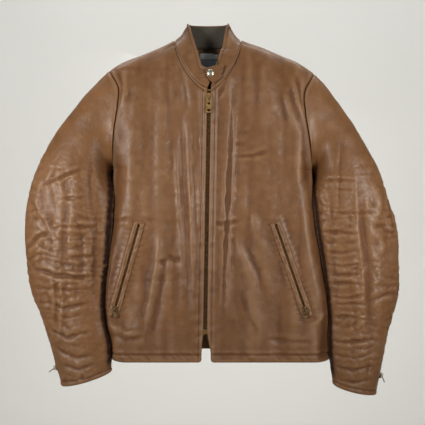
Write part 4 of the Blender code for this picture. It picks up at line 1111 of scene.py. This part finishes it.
def body_stitches(side, surface, thread):
    word = SIDES[side]
    xs = np.linspace(0.012, abs(EDGE[side](HEM_Z + 0.015)) - 0.008, 40) * side + HEM_STITCH_SHIFT[side]
    stitched(f"{word}_hem_stitches", surface, xs, np.full(40, HEM_Z + HEM_SEAM), thread)
    zs = np.linspace(-0.118, HEM_Z + 0.012, 40)
    stitched(f"{word}_facing_stitches", surface, zip_x(zs) + side * FACING_SEAM, zs, thread)
    rows, columns = surface.points.shape[:2]
    u = np.linspace(0.06, 0.98, 30) / 2 * (columns - 1)
    for index, drop in enumerate((0.0085, 0.0125)):
        points, normals = surface.at(np.full(30, (1 - drop / PANEL_LENGTH) * (rows - 1)), u)
        stitch_row(f"{word}_neck_stitches_{index}", points, normals, "torso", thread)
    frame, slit = pocket_frame(side)
    for index, x in enumerate((-POCKET_SEAM, POCKET_SEAM)):
        path = [frame @ Vector((x, 0, -t)) for t in np.linspace(-0.006, slit + 0.006, 24)]
        name = f"{word}_pocket_stitches_{index}"
        stitched(name, surface, [p.x for p in path], [p.z for p in path], thread)
    for index, t in enumerate((-0.0075, slit + 0.0075)):
        across = np.linspace(-0.0125, 0.0125, 9)
        path = [frame @ Vector((x, 0, -t + 0.0016 * math.cos(x * 200))) for x in across]
        stitched(
            f"{word}_pocket_bar_{index}", surface, [p.x for p in path], [p.z for p in path], thread,
            pitch=0.0016, length=0.0015, radius=0.0005,
        )


def back_stitches(surface, thread):
    x = surface.points[..., 0]
    xs = np.linspace(x.min() * 0.96, x[0].max() * 0.97, 80)
    lift = BACK_HEM_LIFT * (1 - np.abs(xs / 0.225) ** 4)
    stitched("back_hem_stitches", surface, xs, HEM_Z + HEM_SEAM + np.maximum(lift, 0), thread)


def sleeve_stitches(side, surface, count, thread):
    word = SIDES[side]
    rows, columns = surface.points.shape[:2]
    spacing = PANEL_LENGTH / (rows - 1)
    ring = np.linspace(2, count - 4, 60)
    for name, columns_at in (("front", ring), ("back", ring + count)):
        cuff = np.full(60, rows - 1 - CUFF_SEAM / spacing)
        points, normals = surface.at(cuff, np.minimum(columns_at, columns - 2.0))
        stitch_row(f"{word}_cuff_stitches_{name}", points, normals, f"{word}_forearm", thread)


# ---------------------------------------------------------------- pockets and zips


def welt(side, edge, leather):
    """A rolled leather welt beside the pocket slit, puckered by its stitching."""
    word = SIDES[side]
    frame, length = pocket_frame(side)
    rows, columns = 120, 13
    t = np.linspace(-0.0045, length + 0.0045, rows)[:, None]
    w = np.linspace(0, 1, columns)[None, :]
    flat = np.stack(np.broadcast_arrays(t, w, 0 * t), axis=-1)
    pucker = noise(flat, (0.0065, 0.5, 1), 31 + edge + 5 * side)
    pucker = pucker + 0.6 * noise(flat, (0.014, 0.8, 1), 41 + edge)
    width = 0.0090 + 0.0006 * noise(flat, (0.02, 9, 1), 44)
    x = side * edge * (0.0020 + width * w)
    ends = rise(np.minimum(t + 0.0045, length + 0.0045 - t), 0.003)
    roll = np.sqrt(np.clip(1 - (2 * w - 1) ** 4, 0, 1)) * ends
    y = np.maximum(-0.0004 - 0.0019 * roll - 0.0008 * pucker * roll, -0.0027)
    grid = np.stack(np.broadcast_arrays(x, y, -t), axis=-1).astype(float)
    back = grid.copy()
    back[..., 1] = 0.0004
    to_world = np.array(frame)
    outer, inner = (g @ to_world[:3, :3].T + to_world[:3, 3] for g in (grid, back))
    height = -grid[..., 1]
    name = "front" if edge < 0 else "rear"
    made = sheet_object(f"{word}_pocket_{name}_roll", outer, inner, leather, shade=shade_of(height))
    assign(made, "torso", "leather", f"{word}_pocket_{name}_welt")


def box_parts(boxes):
    """Vertices and faces of many chamfered blocks, each as (low, high)."""
    vertices, faces = [], []
    corners = list(product((-1, 1), repeat=3))
    for low, high in boxes:
        low, high = np.array(low, float), np.array(high, float)
        centre, half = (low + high) / 2, (high - low) / 2
        cut = half.min() * 0.35
        start = len(vertices)
        index = {}
        for corner in corners:
            for axis in range(3):
                p = centre + np.array(corner) * (half - cut)
                p[axis] += corner[axis] * cut
                index[(*corner, axis)] = start + len(index)
                vertices.append(p)
        for axis in range(3):
            b, c = (axis + 1) % 3, (axis + 2) % 3
            for s in (-1, 1):
                loop = []
                for sb, sc in ((-1, -1), (1, -1), (1, 1), (-1, 1)):
                    key = [0, 0, 0]
                    key[axis], key[b], key[c] = s, sb, sc
                    loop.append(index[(*key, axis)])
                faces.append(loop if s > 0 else loop[::-1])
        for axis in range(3):
            b, c = (axis + 1) % 3, (axis + 2) % 3
            for sb, sc in product((-1, 1), repeat=2):
                near, far = [0, 0, 0], [0, 0, 0]
                near[axis], far[axis] = -1, 1
                near[b] = far[b] = sb
                near[c] = far[c] = sc
                loop = [index[(*near, b)], index[(*far, b)], index[(*far, c)], index[(*near, c)]]
                faces.append(loop if sb * sc > 0 else loop[::-1])
        for corner in corners:
            loop = [index[(*corner, k)] for k in range(3)]
            faces.append(loop if math.prod(corner) > 0 else loop[::-1])
    return vertices, faces


def blocks(name, frame, boxes, material, body, *replaced):
    """Many brass blocks, given in a zip's own axes, as one piece."""
    vertices, faces = box_parts(boxes)
    placed = [frame @ Vector(p) for p in vertices]
    made = new_object(name, placed, faces, material, smooth_shaded=False)
    assign(made, body, "brass", *replaced)


def tooth_row(side, brass):
    """One side of the front zip: separate teeth, each with a wider head, clamped on the tape's edge."""
    word = SIDES[side]
    frame, length = front_zip_frame()
    pitch = 0.0027
    boxes = []
    for i in range(int((length - 0.003) / pitch)):
        z = -0.0022 - i * pitch - (pitch / 2 if side == LEFT else 0)
        for (x0, x1), half in (((-0.0007, 0.0010), 0.00052), ((0.0008, 0.0033), 0.00072)):
            xs = sorted((side * x0, side * x1))
            boxes.append(((xs[0], 0.0011, z - half), (xs[1], 0.0040, z + half)))
    blocks(f"{word}_zip_teeth", frame, boxes, brass, "torso", f"{word}_tooth_row")


def hidden_chain(name, frame, length, start, body, brass):
    """The fine coil of a small zip, on its tape."""
    pitch = 0.0016
    boxes = []
    for i in range(int((length - 2 * start) / pitch)):
        z = -start - i * pitch
        lean = 0.00035 if i % 2 else -0.00035
        boxes.append(((lean - 0.0021, 0.0006, z - 0.00055), (lean + 0.0021, 0.0026, z + 0.00055)))
    blocks(name, frame, boxes, brass, body)


def tape_strip(name, frame, low, high, material, body, replaced):
    """A woven zip tape, a little uneven along its length."""
    x = np.linspace(low[0], high[0], 12)[None, :]
    z = np.linspace(low[2], high[2], max(int((high[2] - low[2]) / 0.002), 8))[:, None]
    face = np.stack(np.broadcast_arrays(x, low[1], z), axis=-1).astype(float)
    face[..., 1] += 0.00012 * noise(face, 0.005, 231)
    back = face + (0, high[1] - low[1], 0)
    place = np.array(frame)
    grids = [g @ place[:3, :3].T + place[:3, 3] for g in (face, back)]
    made = sheet_object(name, *grids, material)
    assign(made, body, "zip_tape", replaced)


def dress_zips(brass, tape):
    frame, length = front_zip_frame()
    for side, word in SIDES.items():
        spans = sorted((side * 0.0032, side * 0.0145))
        low, high = (spans[0], 0.0023, -length), (spans[1], 0.0030, 0.004)
        tape_strip(f"{word}_zip_cloth", frame, low, high, tape, "torso", f"{word}_zip_tape")
        for kind, (place, slit), half, short, start, body in (
            ("pocket", pocket_frame(side), 0.0092, 0.001, 0.004, "torso"),
            ("cuff", cuff_frame(side), 0.0042, 0.002, 0.0045, f"{word}_forearm"),
        ):
            low, high = (-half, 0.0033, -slit + short), (half, 0.0040, -0.001)
            tape_strip(f"{word}_{kind}_zip_cloth", place, low, high, tape, body, f"{word}_{kind}_zip_tape")
            hidden_chain(f"{word}_{kind}_chain", place, slit, start, body, brass)


def pocket_bag(side, lining):
    """The bag behind a pocket slit: two layers of cloth, the nearer one open along the zip."""
    word = SIDES[side]
    top, bottom = POCKET_LINE[side]
    along = np.linspace(-0.01, 1.01, 60)[:, None]
    reach = side * np.linspace(0.0095, -0.070, 24)[None, :]
    x = top[0] + (bottom[0] - top[0]) * along + reach
    z = top[2] + (bottom[2] - top[2]) * along + 0 * reach
    layers = []
    for name, near, far in (("front", 0.0045, 0.0050), ("back", 0.0060, 0.0065)):
        grids = [np.stack([x, body_y(side, "front", x, z, depth), z], axis=-1) for depth in (near, far)]
        ripple = 0.0002 * noise(grids[0], (0.02, 0.05, 0.04), 241)
        for grid in grids:
            grid[..., 1] += ripple
        layers.append(sheet_object(f"{word}_pocket_bag_{name}", *grids, lining))
    frame, slit = pocket_frame(side)
    cut_box(layers[0], frame, (-0.0060, 0.0020, -slit + 0.012), (0.0060, 0.0058, -0.012))
    for layer, replaced in zip(layers, ((), (f"{word}_pocket_bag",))):
        assign(layer, "torso", "lining", *replaced)


# ---------------------------------------------------------------- linings and facings


def layer_sheet(name, side, face, spans, depth, thickness, material, slot, replaced, folds, steps=(90, 50)):
    """A lining or facing: the body's own surface, further in, with soft folds of its own."""
    (u0, u1), (z_low, v1) = spans
    rows, columns = steps
    u = np.linspace(u0, u1, columns)[None, :]
    v = np.linspace(z_low, v1, rows)[:, None]
    grids = []
    for inset in (depth, depth + thickness):
        if side is None:
            left = body_points(LEFT, face, u, v, inset)
            right = body_points(RIGHT, face, u, v, inset)
            grids.append(np.concatenate([right[:, :0:-1], left], axis=1))
        else:
            grids.append(body_points(side, face, u, v, inset))
    toward = 1 if face == "front" else -1
    cut = grids[0].copy()
    fold = folds * (0.5 + 0.5 * noise(cut, (0.030, 0.2, 0.16), 301)) + 0.3 * folds * noise(cut, 0.02, 302)
    rows_at = np.linspace(0, 1, rows)[:, None]
    calm = ease(rows_at / 0.04) * ease((1 - rows_at) / 0.06)
    for grid in grids:
        grid[..., 1] += toward * fold * calm
    made = sheet_object(name, grids[0], grids[1], material)
    assign(made, "torso", slot, replaced)


def make_linings(leather, lining):
    """The linings, hung inside the shell, and the leather facings at the hem and beside the zip."""
    facing_top = HEM_FACING_HEIGHT / PANEL_LENGTH
    cloth = (LINING_DEPTH, LINING_THICKNESS, lining, "lining")
    hem = (LINING_DEPTH - 0.002, FACING_THICKNESS, leather, "leather")
    front = (LINING_DEPTH - 0.001, FACING_THICKNESS, leather, "leather")
    for side, word in SIDES.items():
        for name, replaced, span, looks, folds, *steps in (
            (
                "front_lining_cloth", "front_lining",
                ((FACING_REACH + 0.01, LINING_SIDE), (facing_top - 0.004, 0.993)), cloth, LINING_FOLD,
            ),
            (
                "hem_facing_leather", "hem_facing",
                ((FACING_REACH - 0.01, LINING_SIDE), (0.001, facing_top)), hem, FACING_FOLD, (16, 60),
            ),
            (
                "front_facing_leather", "front_facing",
                ((0.035, FACING_REACH), (0.001, 0.965)), front, FACING_FOLD, (120, 14),
            ),
        ):
            layer_sheet(f"{word}_{name}", side, "front", span, *looks, f"{word}_{replaced}", folds, *steps)
    span = ((0.0, LINING_SIDE), (facing_top - 0.004, 0.994))
    layer_sheet("back_lining_cloth", None, "back", span, *cloth, "back_lining", LINING_FOLD)
    span = ((0.0, LINING_SIDE), (0.001, facing_top))
    layer_sheet("back_hem_facing_leather", None, "back", span, *hem, "back_hem_facing", FACING_FOLD, (16, 60))


def sleeve_lining(side, lining):
    word = SIDES[side]
    stations, length = even_stations(side, 110)
    stations = np.interp(np.linspace(0, length - 0.007, 110), np.linspace(0, length, 110), stations)
    base = sleeve_ring_grid(side, stations, 40)
    normals = grid_normals(base, closed=True)
    centres = base.mean(axis=1, keepdims=True)
    normals *= np.sign((normals * (base - centres)).sum())
    folds = 0.0016 * (noise(base, (0.03, 0.03, 0.06), 401) - 1)
    depths = (SLEEVE_LINING_DEPTH, SLEEVE_LINING_DEPTH + 0.001)
    grids = [base + normals * (folds - depth)[..., None] for depth in depths]
    made = sheet_object(f"{word}_sleeve_lining_cloth", *grids, lining, closed=True)
    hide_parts(f"{word}_sleeve_lining_upper", f"{word}_sleeve_lining_forearm")
    bend_at_elbow(made)


# ---------------------------------------------------------------- collar


def neck_seam(count):
    """The neckline from the right front end round the back to the left front end."""
    u = np.linspace(0, 1, count)
    fronts = {side: body_points(side, "front", u, 1.0) for side in SIDES}
    backs = {side: body_points(side, "back", u, 1.0) for side in SIDES}
    return np.concatenate([
        fronts[RIGHT], backs[RIGHT][-2::-1], backs[LEFT][1:-1], fronts[LEFT][::-1],
    ])


def collar_top(count):
    """The collar's top edge, matched to the neck seam point for point."""
    right_back = [(-x, y, z) for x, y, z in COLLAR_BACK_TOP]
    left_back = list(COLLAR_BACK_TOP[-2::-1])
    left_front = list(reversed(COLLAR_FRONT_TOP[LEFT]))
    points = np.array(COLLAR_FRONT_TOP[RIGHT] + right_back + left_back + left_front)
    steps = np.array([math.sin(math.pi / 2 * i / 6) for i in range(7)])
    turns = [steps, 2 - steps[-2::-1], 2 + steps[1:], 4 - steps[-2::-1]]
    path = smooth(list(zip(np.concatenate(turns), points)))
    fine = np.linspace(0, 1, count)
    return path(np.concatenate([fine, 2 - fine[-2::-1], 2 + fine[1:-1], 4 - fine[::-1]]))


def make_collar(leather, lining, thread):
    """The standing band round the neck, with its rolled top edge, and its lining."""
    rows, count = 60, 44
    base, top = neck_seam(count), collar_top(count)
    start = base + (top - base) / np.linalg.norm(top - base, axis=1, keepdims=True) * COLLAR_LIFT
    away = start * (1, 1, 0) - (0, 0.005, 0)
    away /= np.linalg.norm(away, axis=1, keepdims=True)
    share = np.linspace(0, 1, rows)[:, None, None]
    grid = start + (top - start) * share + away * COLLAR_BULGE * np.sin(math.pi * share)
    normals = grid_normals(grid)
    centres = np.stack([0 * grid[..., 0], 0 * grid[..., 1] + 0.005, grid[..., 2]], axis=-1)
    normals *= np.sign((normals * (grid - centres)).sum())
    height_of_band = np.linalg.norm(top - start, axis=1)[None, :]
    up = share[..., 0] * height_of_band
    down = (1 - share[..., 0]) * height_of_band
    around = np.r_[0, np.cumsum(np.linalg.norm(np.diff(top, axis=0), axis=1))][None, :]
    ends = np.minimum(around, around[:, -1:] - around)
    near = np.minimum(np.minimum(up, down), ends * np.ones_like(up))
    fade = ease(near / 0.010)
    height = 0.0013 * noise(grid, (0.022, 0.03, 0.045), 201) + 0.0006 * noise(grid, 0.012, 202)
    rolls = billow(grid[..., 2] / 0.017 + noise(grid, 0.03, 203), 0.5)
    height += 0.0009 * rolls * ease(0.4 + noise(grid, 0.04, 204))
    height *= fade
    height += 0.0006 * bump(down - 0.0028, 0.0024) - 0.0008 * bump(down - 0.0062, 0.0012)
    pucker = noise(grid, (0.007, 0.02, 0.007), 205)
    height += 0.0004 * pucker * bump(down - 0.004, 0.004) - 0.0008 * bump(up, 0.0016)
    outer = grid + normals * height[..., None]
    inner = grid + normals * (np.minimum(height, 0.0006) - LEATHER_THICKNESS)[..., None]
    made = sheet_object("collar_leather", outer, inner, leather, shade=shade_of(height))
    assign(made, "torso", "leather", "collar_band")
    surface = Surface(outer, normals)
    columns = np.arange(outer.shape[1], dtype=float)[1:-1]
    at = (1 - 0.0062 / np.maximum(height_of_band[0, 1:-1], 0.012)) * (rows - 1)
    stitch_row("collar_edge_stitches_0", *surface.at(at, columns), "torso", thread)
    collar_lining(grid, normals, lining)


def collar_lining(grid, normals, lining):
    """The cloth inside the band, which reaches below the neck seam at the back."""
    under = 0.0006 * (noise(grid, 0.02, 206) - 1)
    sides = []
    for depth in (0.0026, 0.0035):
        layer = (grid - normals * (depth - under)[..., None])[2:-2, 1:-1]
        drop = COLLAR_LINING_DROP * ease((layer[0, :, 1] - 0.004) / 0.012)
        sides.append(np.concatenate([layer[:1] - drop[None, :, None] * (0, 0, 1), layer]))
    cloth = sheet_object("collar_lining_cloth", *sides, lining)
    assign(cloth, "torso", "lining", "collar_lining")


def tab_axes():
    """A point of the strap's plane, the way up it, and the way out of it."""
    low, high = (Vector(p) for p in TAB_PLANE)
    up = (high - low).normalized()
    return low, up, Vector((1, 0, 0)).cross(up)


def tab_point(x, z, out):
    low, up, normal = tab_axes()
    return low + Vector((x, 0, 0)) + up * ((z - low.z) / up.z) + normal * out


def rounded_outline(corners, radius, steps):
    """A polygon's outline with each corner rounded, at even steps along it."""
    points = []
    for i, corner in enumerate(corners):
        corner = Vector(corner)
        before = (Vector(corners[i - 1]) - corner).normalized() * radius
        after = (Vector(corners[(i + 1) % len(corners)]) - corner).normalized() * radius
        points += [corner + before * (1 - t) ** 2 + after * t**2 for t in np.linspace(0, 1, steps)]
    points = np.array([tuple(p) for p in points])
    loop = np.concatenate([points, points[:1]])
    reach = np.r_[0, np.cumsum(np.linalg.norm(np.diff(loop, axis=0), axis=1))]
    even = np.arange(120) / 120 * reach[-1]
    return np.stack([np.interp(even, reach, loop[:, k]) for k in (0, 1)], axis=-1)


def make_tab(leather, thread):
    """The strap across the neck: a thick folded piece with a rolled edge and a row of stitches inside it."""
    outline = rounded_outline(TAB_OUTLINE, 0.0035, 7)
    centre = outline.mean(axis=0)
    low, high = TAB_OUT
    rings = []
    for share, out in (
        (0.90, low), (1.0, low + 0.0004), (1.0, high - 0.0006), (0.975, high - 0.0001), (0.93, high + 0.0002),
        (0.87, high - 0.0001), (0.84, high - 0.0005), (0.81, high - 0.0001), (0.72, high), (0.60, high),
        (0.45, high), (0.30, high), (0.15, high), (0.0, high),
    ):
        ring = centre + (outline - centre) * share
        flat = np.stack([ring[:, 0], 0 * ring[:, 0], ring[:, 1]], axis=-1)
        rough = 0.0003 * noise(flat, 0.007, 211) + 0.0002 * noise(flat, 0.004, 212)
        rough = rough * (out > high - 0.001)
        rings.append([tab_point(x, z, out + r) for (x, z), r in zip(ring, rough)])
    vertices = [p for ring in rings for p in ring]
    faces = list(grid_faces(len(rings), 120, closed=True))
    faces.append(np.arange(120)[::-1])
    made = new_object("collar_strap", vertices, faces, leather)
    recalculate(made)
    assign(made, "collar_tab", "leather", "collar_tab")
    ring = centre + (outline - centre) * 0.84
    ring = np.concatenate([ring, ring[:1]])
    path = [tab_point(x, z, high - 0.0001) for x, z in ring]
    normal = tab_point(0, 0, 1) - tab_point(0, 0, 0)
    normals = [normal] * len(path)
    stitch_row("strap_stitches", path, normals, "collar_tab", thread, pitch=0.0032, length=0.0022)


def recalculate(piece):
    """Turns every face outwards."""
    made = bmesh.new()
    made.from_mesh(piece.data)
    bmesh.ops.remove_doubles(made, verts=made.verts, dist=1e-7)
    bmesh.ops.recalc_face_normals(made, faces=made.faces)
    made.to_mesh(piece.data)
    made.free()


def turned(name, profile, place, material):
    """A round part made by turning a profile of (radius, depth) pairs."""
    around = 64
    angle = 2 * math.pi * np.arange(around) / around
    grid = [[(r * math.cos(a), y, r * math.sin(a)) for a in angle] for r, y in profile]
    points = [place @ Vector(p) for row in grid for p in row]
    made = new_object(name, points, grid_faces(len(profile), around, closed=True), material)
    recalculate(made)
    return made


def make_snap(metal):
    """The snap's domed cap, with a rolled rim, on the strap."""
    _, up, normal = tab_axes()
    turn = Matrix((Vector((1, 0, 0)), -normal, up)).transposed().to_4x4()
    place = Matrix.Translation(tab_point(*SNAP, TAB_OUT[1] + 0.0002)) @ turn
    profile = [(0.0, 0.0), (0.0074, 0.0), (0.0077, -0.0005), (0.0075, -0.0011), (0.0069, -0.0013)]
    for i in range(13):
        tilt = math.pi / 2 * i / 12
        profile.append((0.0066 * math.cos(tilt), -0.0012 - 0.0020 * math.sin(tilt)))
    made = turned("snap_dome", profile, place, metal)
    assign(made, "collar_tab", "snap_metal", "snap_cap")


# ---------------------------------------------------------------- the label


def make_label(cloth, band):
    """The blank label inside the neck: a pale folded band above a darker panel."""
    low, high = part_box("neck_label")
    rows, columns = 40, 40
    x = np.linspace(low[0], high[0], columns)[None, :]
    z = np.linspace(low[2], high[2], rows)[:, None]
    share = (z - low[2]) / (high[2] - low[2])
    grid = np.stack(np.broadcast_arrays(x, low[1] + (high[1] - low[1]) * share, z), axis=-1).astype(float)
    grid[..., 1] -= 0.0008 + 0.0006 * noise(grid, (0.02, 0.1, 0.015), 221)
    back = grid + (0, 0.0007, 0)
    made = sheet_object("neck_label_cloth", grid, back, cloth)
    strip = grid[rows - 13:] - (0, 0.0006, 0)
    top = sheet_object("neck_label_band", strip, strip + (0, 0.0005, 0), band)
    assign(made, "torso", "label_cloth", "neck_label")
    assign(top, "torso", "label_cloth")


# ---------------------------------------------------------------- hardware, room and light


def finish_nodes(nodes, materials):
    """Gives each CAD part that shows as it is its own finish."""
    for name, node in nodes.items():
        for word, material in materials.items():
            if word in name:
                node.data.materials.clear()
                node.data.materials.append(material)
                break


def plane(name, corners, material):
    made = new_object(name, corners, [(0, 1, 2, 3)], material, smooth_shaded=False)


def make_room(wall, floor):
    plane("backdrop", [(-9, 3.2, -1.6), (9, 3.2, -1.6), (9, 3.2, 6), (-9, 3.2, 6)], wall)
    plane("floor", [(-9, -8, -1.6), (9, -8, -1.6), (9, 3.2, -1.6), (-9, 3.2, -1.6)], floor)


def lamp(name, place, target, size, power, colour, spread=180):
    light = bpy.data.lights.new(name, "AREA")
    light.shape = "RECTANGLE"
    light.size, light.size_y = size
    light.energy = power
    light.color = colour
    light.spread = math.radians(spread)
    made = bpy.data.objects.new(name, light)
    made.location = place
    made.rotation_euler = (Vector(target) - Vector(place)).to_track_quat("-Z", "Y").to_euler()
    bpy.context.scene.collection.objects.link(made)


def make_light_and_camera():
    scene = bpy.context.scene
    centre = (0.0, 0.0, -0.35)
    lamp("key left", (-1.25, -1.40, -0.06), (-0.33, 0.0, -0.26), (0.7, 0.6), 2.62, (1.0, 0.975, 0.94), 50)
    lamp("key right", (1.15, -1.40, -0.06), (0.33, 0.0, -0.26), (0.7, 0.6), 2.00, (1.0, 0.975, 0.94), 50)
    lamp("rear", (0.3, 2.9, 1.0), centre, (1.6, 1.2), 20, (1.0, 0.98, 0.96))
    lamp("wall", (0.0, 0.9, 2.2), (0.0, 3.2, -0.9), (3.6, 1.2), 88, (1.0, 1.0, 0.985))
    lamp("wall low", (0.0, 1.0, -1.5), (0.0, 3.2, -0.6), (3.6, 0.8), 44, (1.0, 1.0, 0.99))
    world = bpy.data.worlds.new("pale room")
    scene.world = world
    world.use_nodes = True
    world.node_tree.nodes["Background"].inputs[0].default_value = (0.86, 0.87, 0.88, 1)
    world.node_tree.nodes["Background"].inputs[1].default_value = 0.175
    camera = bpy.data.cameras.new("camera")
    camera.lens, camera.sensor_width = 78.5, 36.0
    made = bpy.data.objects.new("camera", camera)
    made.location = (0.0092, -1.9, -0.3495)
    made.rotation_euler = (math.pi / 2, 0, 0)
    scene.collection.objects.link(made)
    scene.camera = made
    scene.view_settings.view_transform = "Standard"


def main():
    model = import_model()
    leather = leather_material("leather")
    # The sleeves get a lighter copy of the leather: painted highlight where more light falls on them.
    lit_sleeve_leather = leather_material("sleeve leather", tint=1.12)
    lining = cloth_material("lining", (0.046, 0.039, 0.027), (0.118, 0.100, 0.072))
    tape = cloth_material("zip tape", (0.020, 0.010, 0.006), (0.060, 0.028, 0.015), 0.0009)
    label = cloth_material("label cloth", (0.40, 0.43, 0.48), (0.58, 0.61, 0.66), 0.0007)
    band = cloth_material("label band", (0.80, 0.80, 0.78), (0.92, 0.92, 0.90), 0.0007)
    brass = metal_material("brass", (0.50, 0.33, 0.13), (0.17, 0.09, 0.035), 0.34, 160.0)
    old_brass = metal_material("zip teeth", (0.24, 0.14, 0.065), (0.060, 0.032, 0.016), 0.38, 260.0)
    nickel = metal_material("snap metal", (0.80, 0.76, 0.62), (0.36, 0.31, 0.20), 0.20, 110.0)
    dark_metal = metal_material("aged zip metal", (0.30, 0.20, 0.10), (0.07, 0.040, 0.020), 0.36, 180.0)
    thread = thread_material()

    for side in SIDES:
        surface = front_panel(side, leather)
        body_stitches(side, surface, thread)
        for edge in (-1, 1):
            welt(side, edge, leather)
        tooth_row(side, old_brass)
        surface, count = sleeve_panel(side, lit_sleeve_leather)
        sleeve_stitches(side, surface, count, thread)
        sleeve_lining(side, lining)
    back_stitches(back_panel(leather), thread)
    make_linings(leather, lining)
    make_collar(leather, lining, thread)
    make_tab(leather, thread)
    make_snap(nickel)
    make_label(label, band)
    dress_zips(old_brass, tape)
    for side in SIDES:
        pocket_bag(side, lining)
    finish_nodes(model["nodes"], {
        **dict.fromkeys(AGED_PARTS, dark_metal), **dict.fromkeys(BRASS_PARTS, brass), "snap": nickel,
    })
    make_room(wall_material("wall", (0.66, 0.65, 0.62)), wall_material("floor", (0.62, 0.61, 0.58)))
    make_light_and_camera()


main()
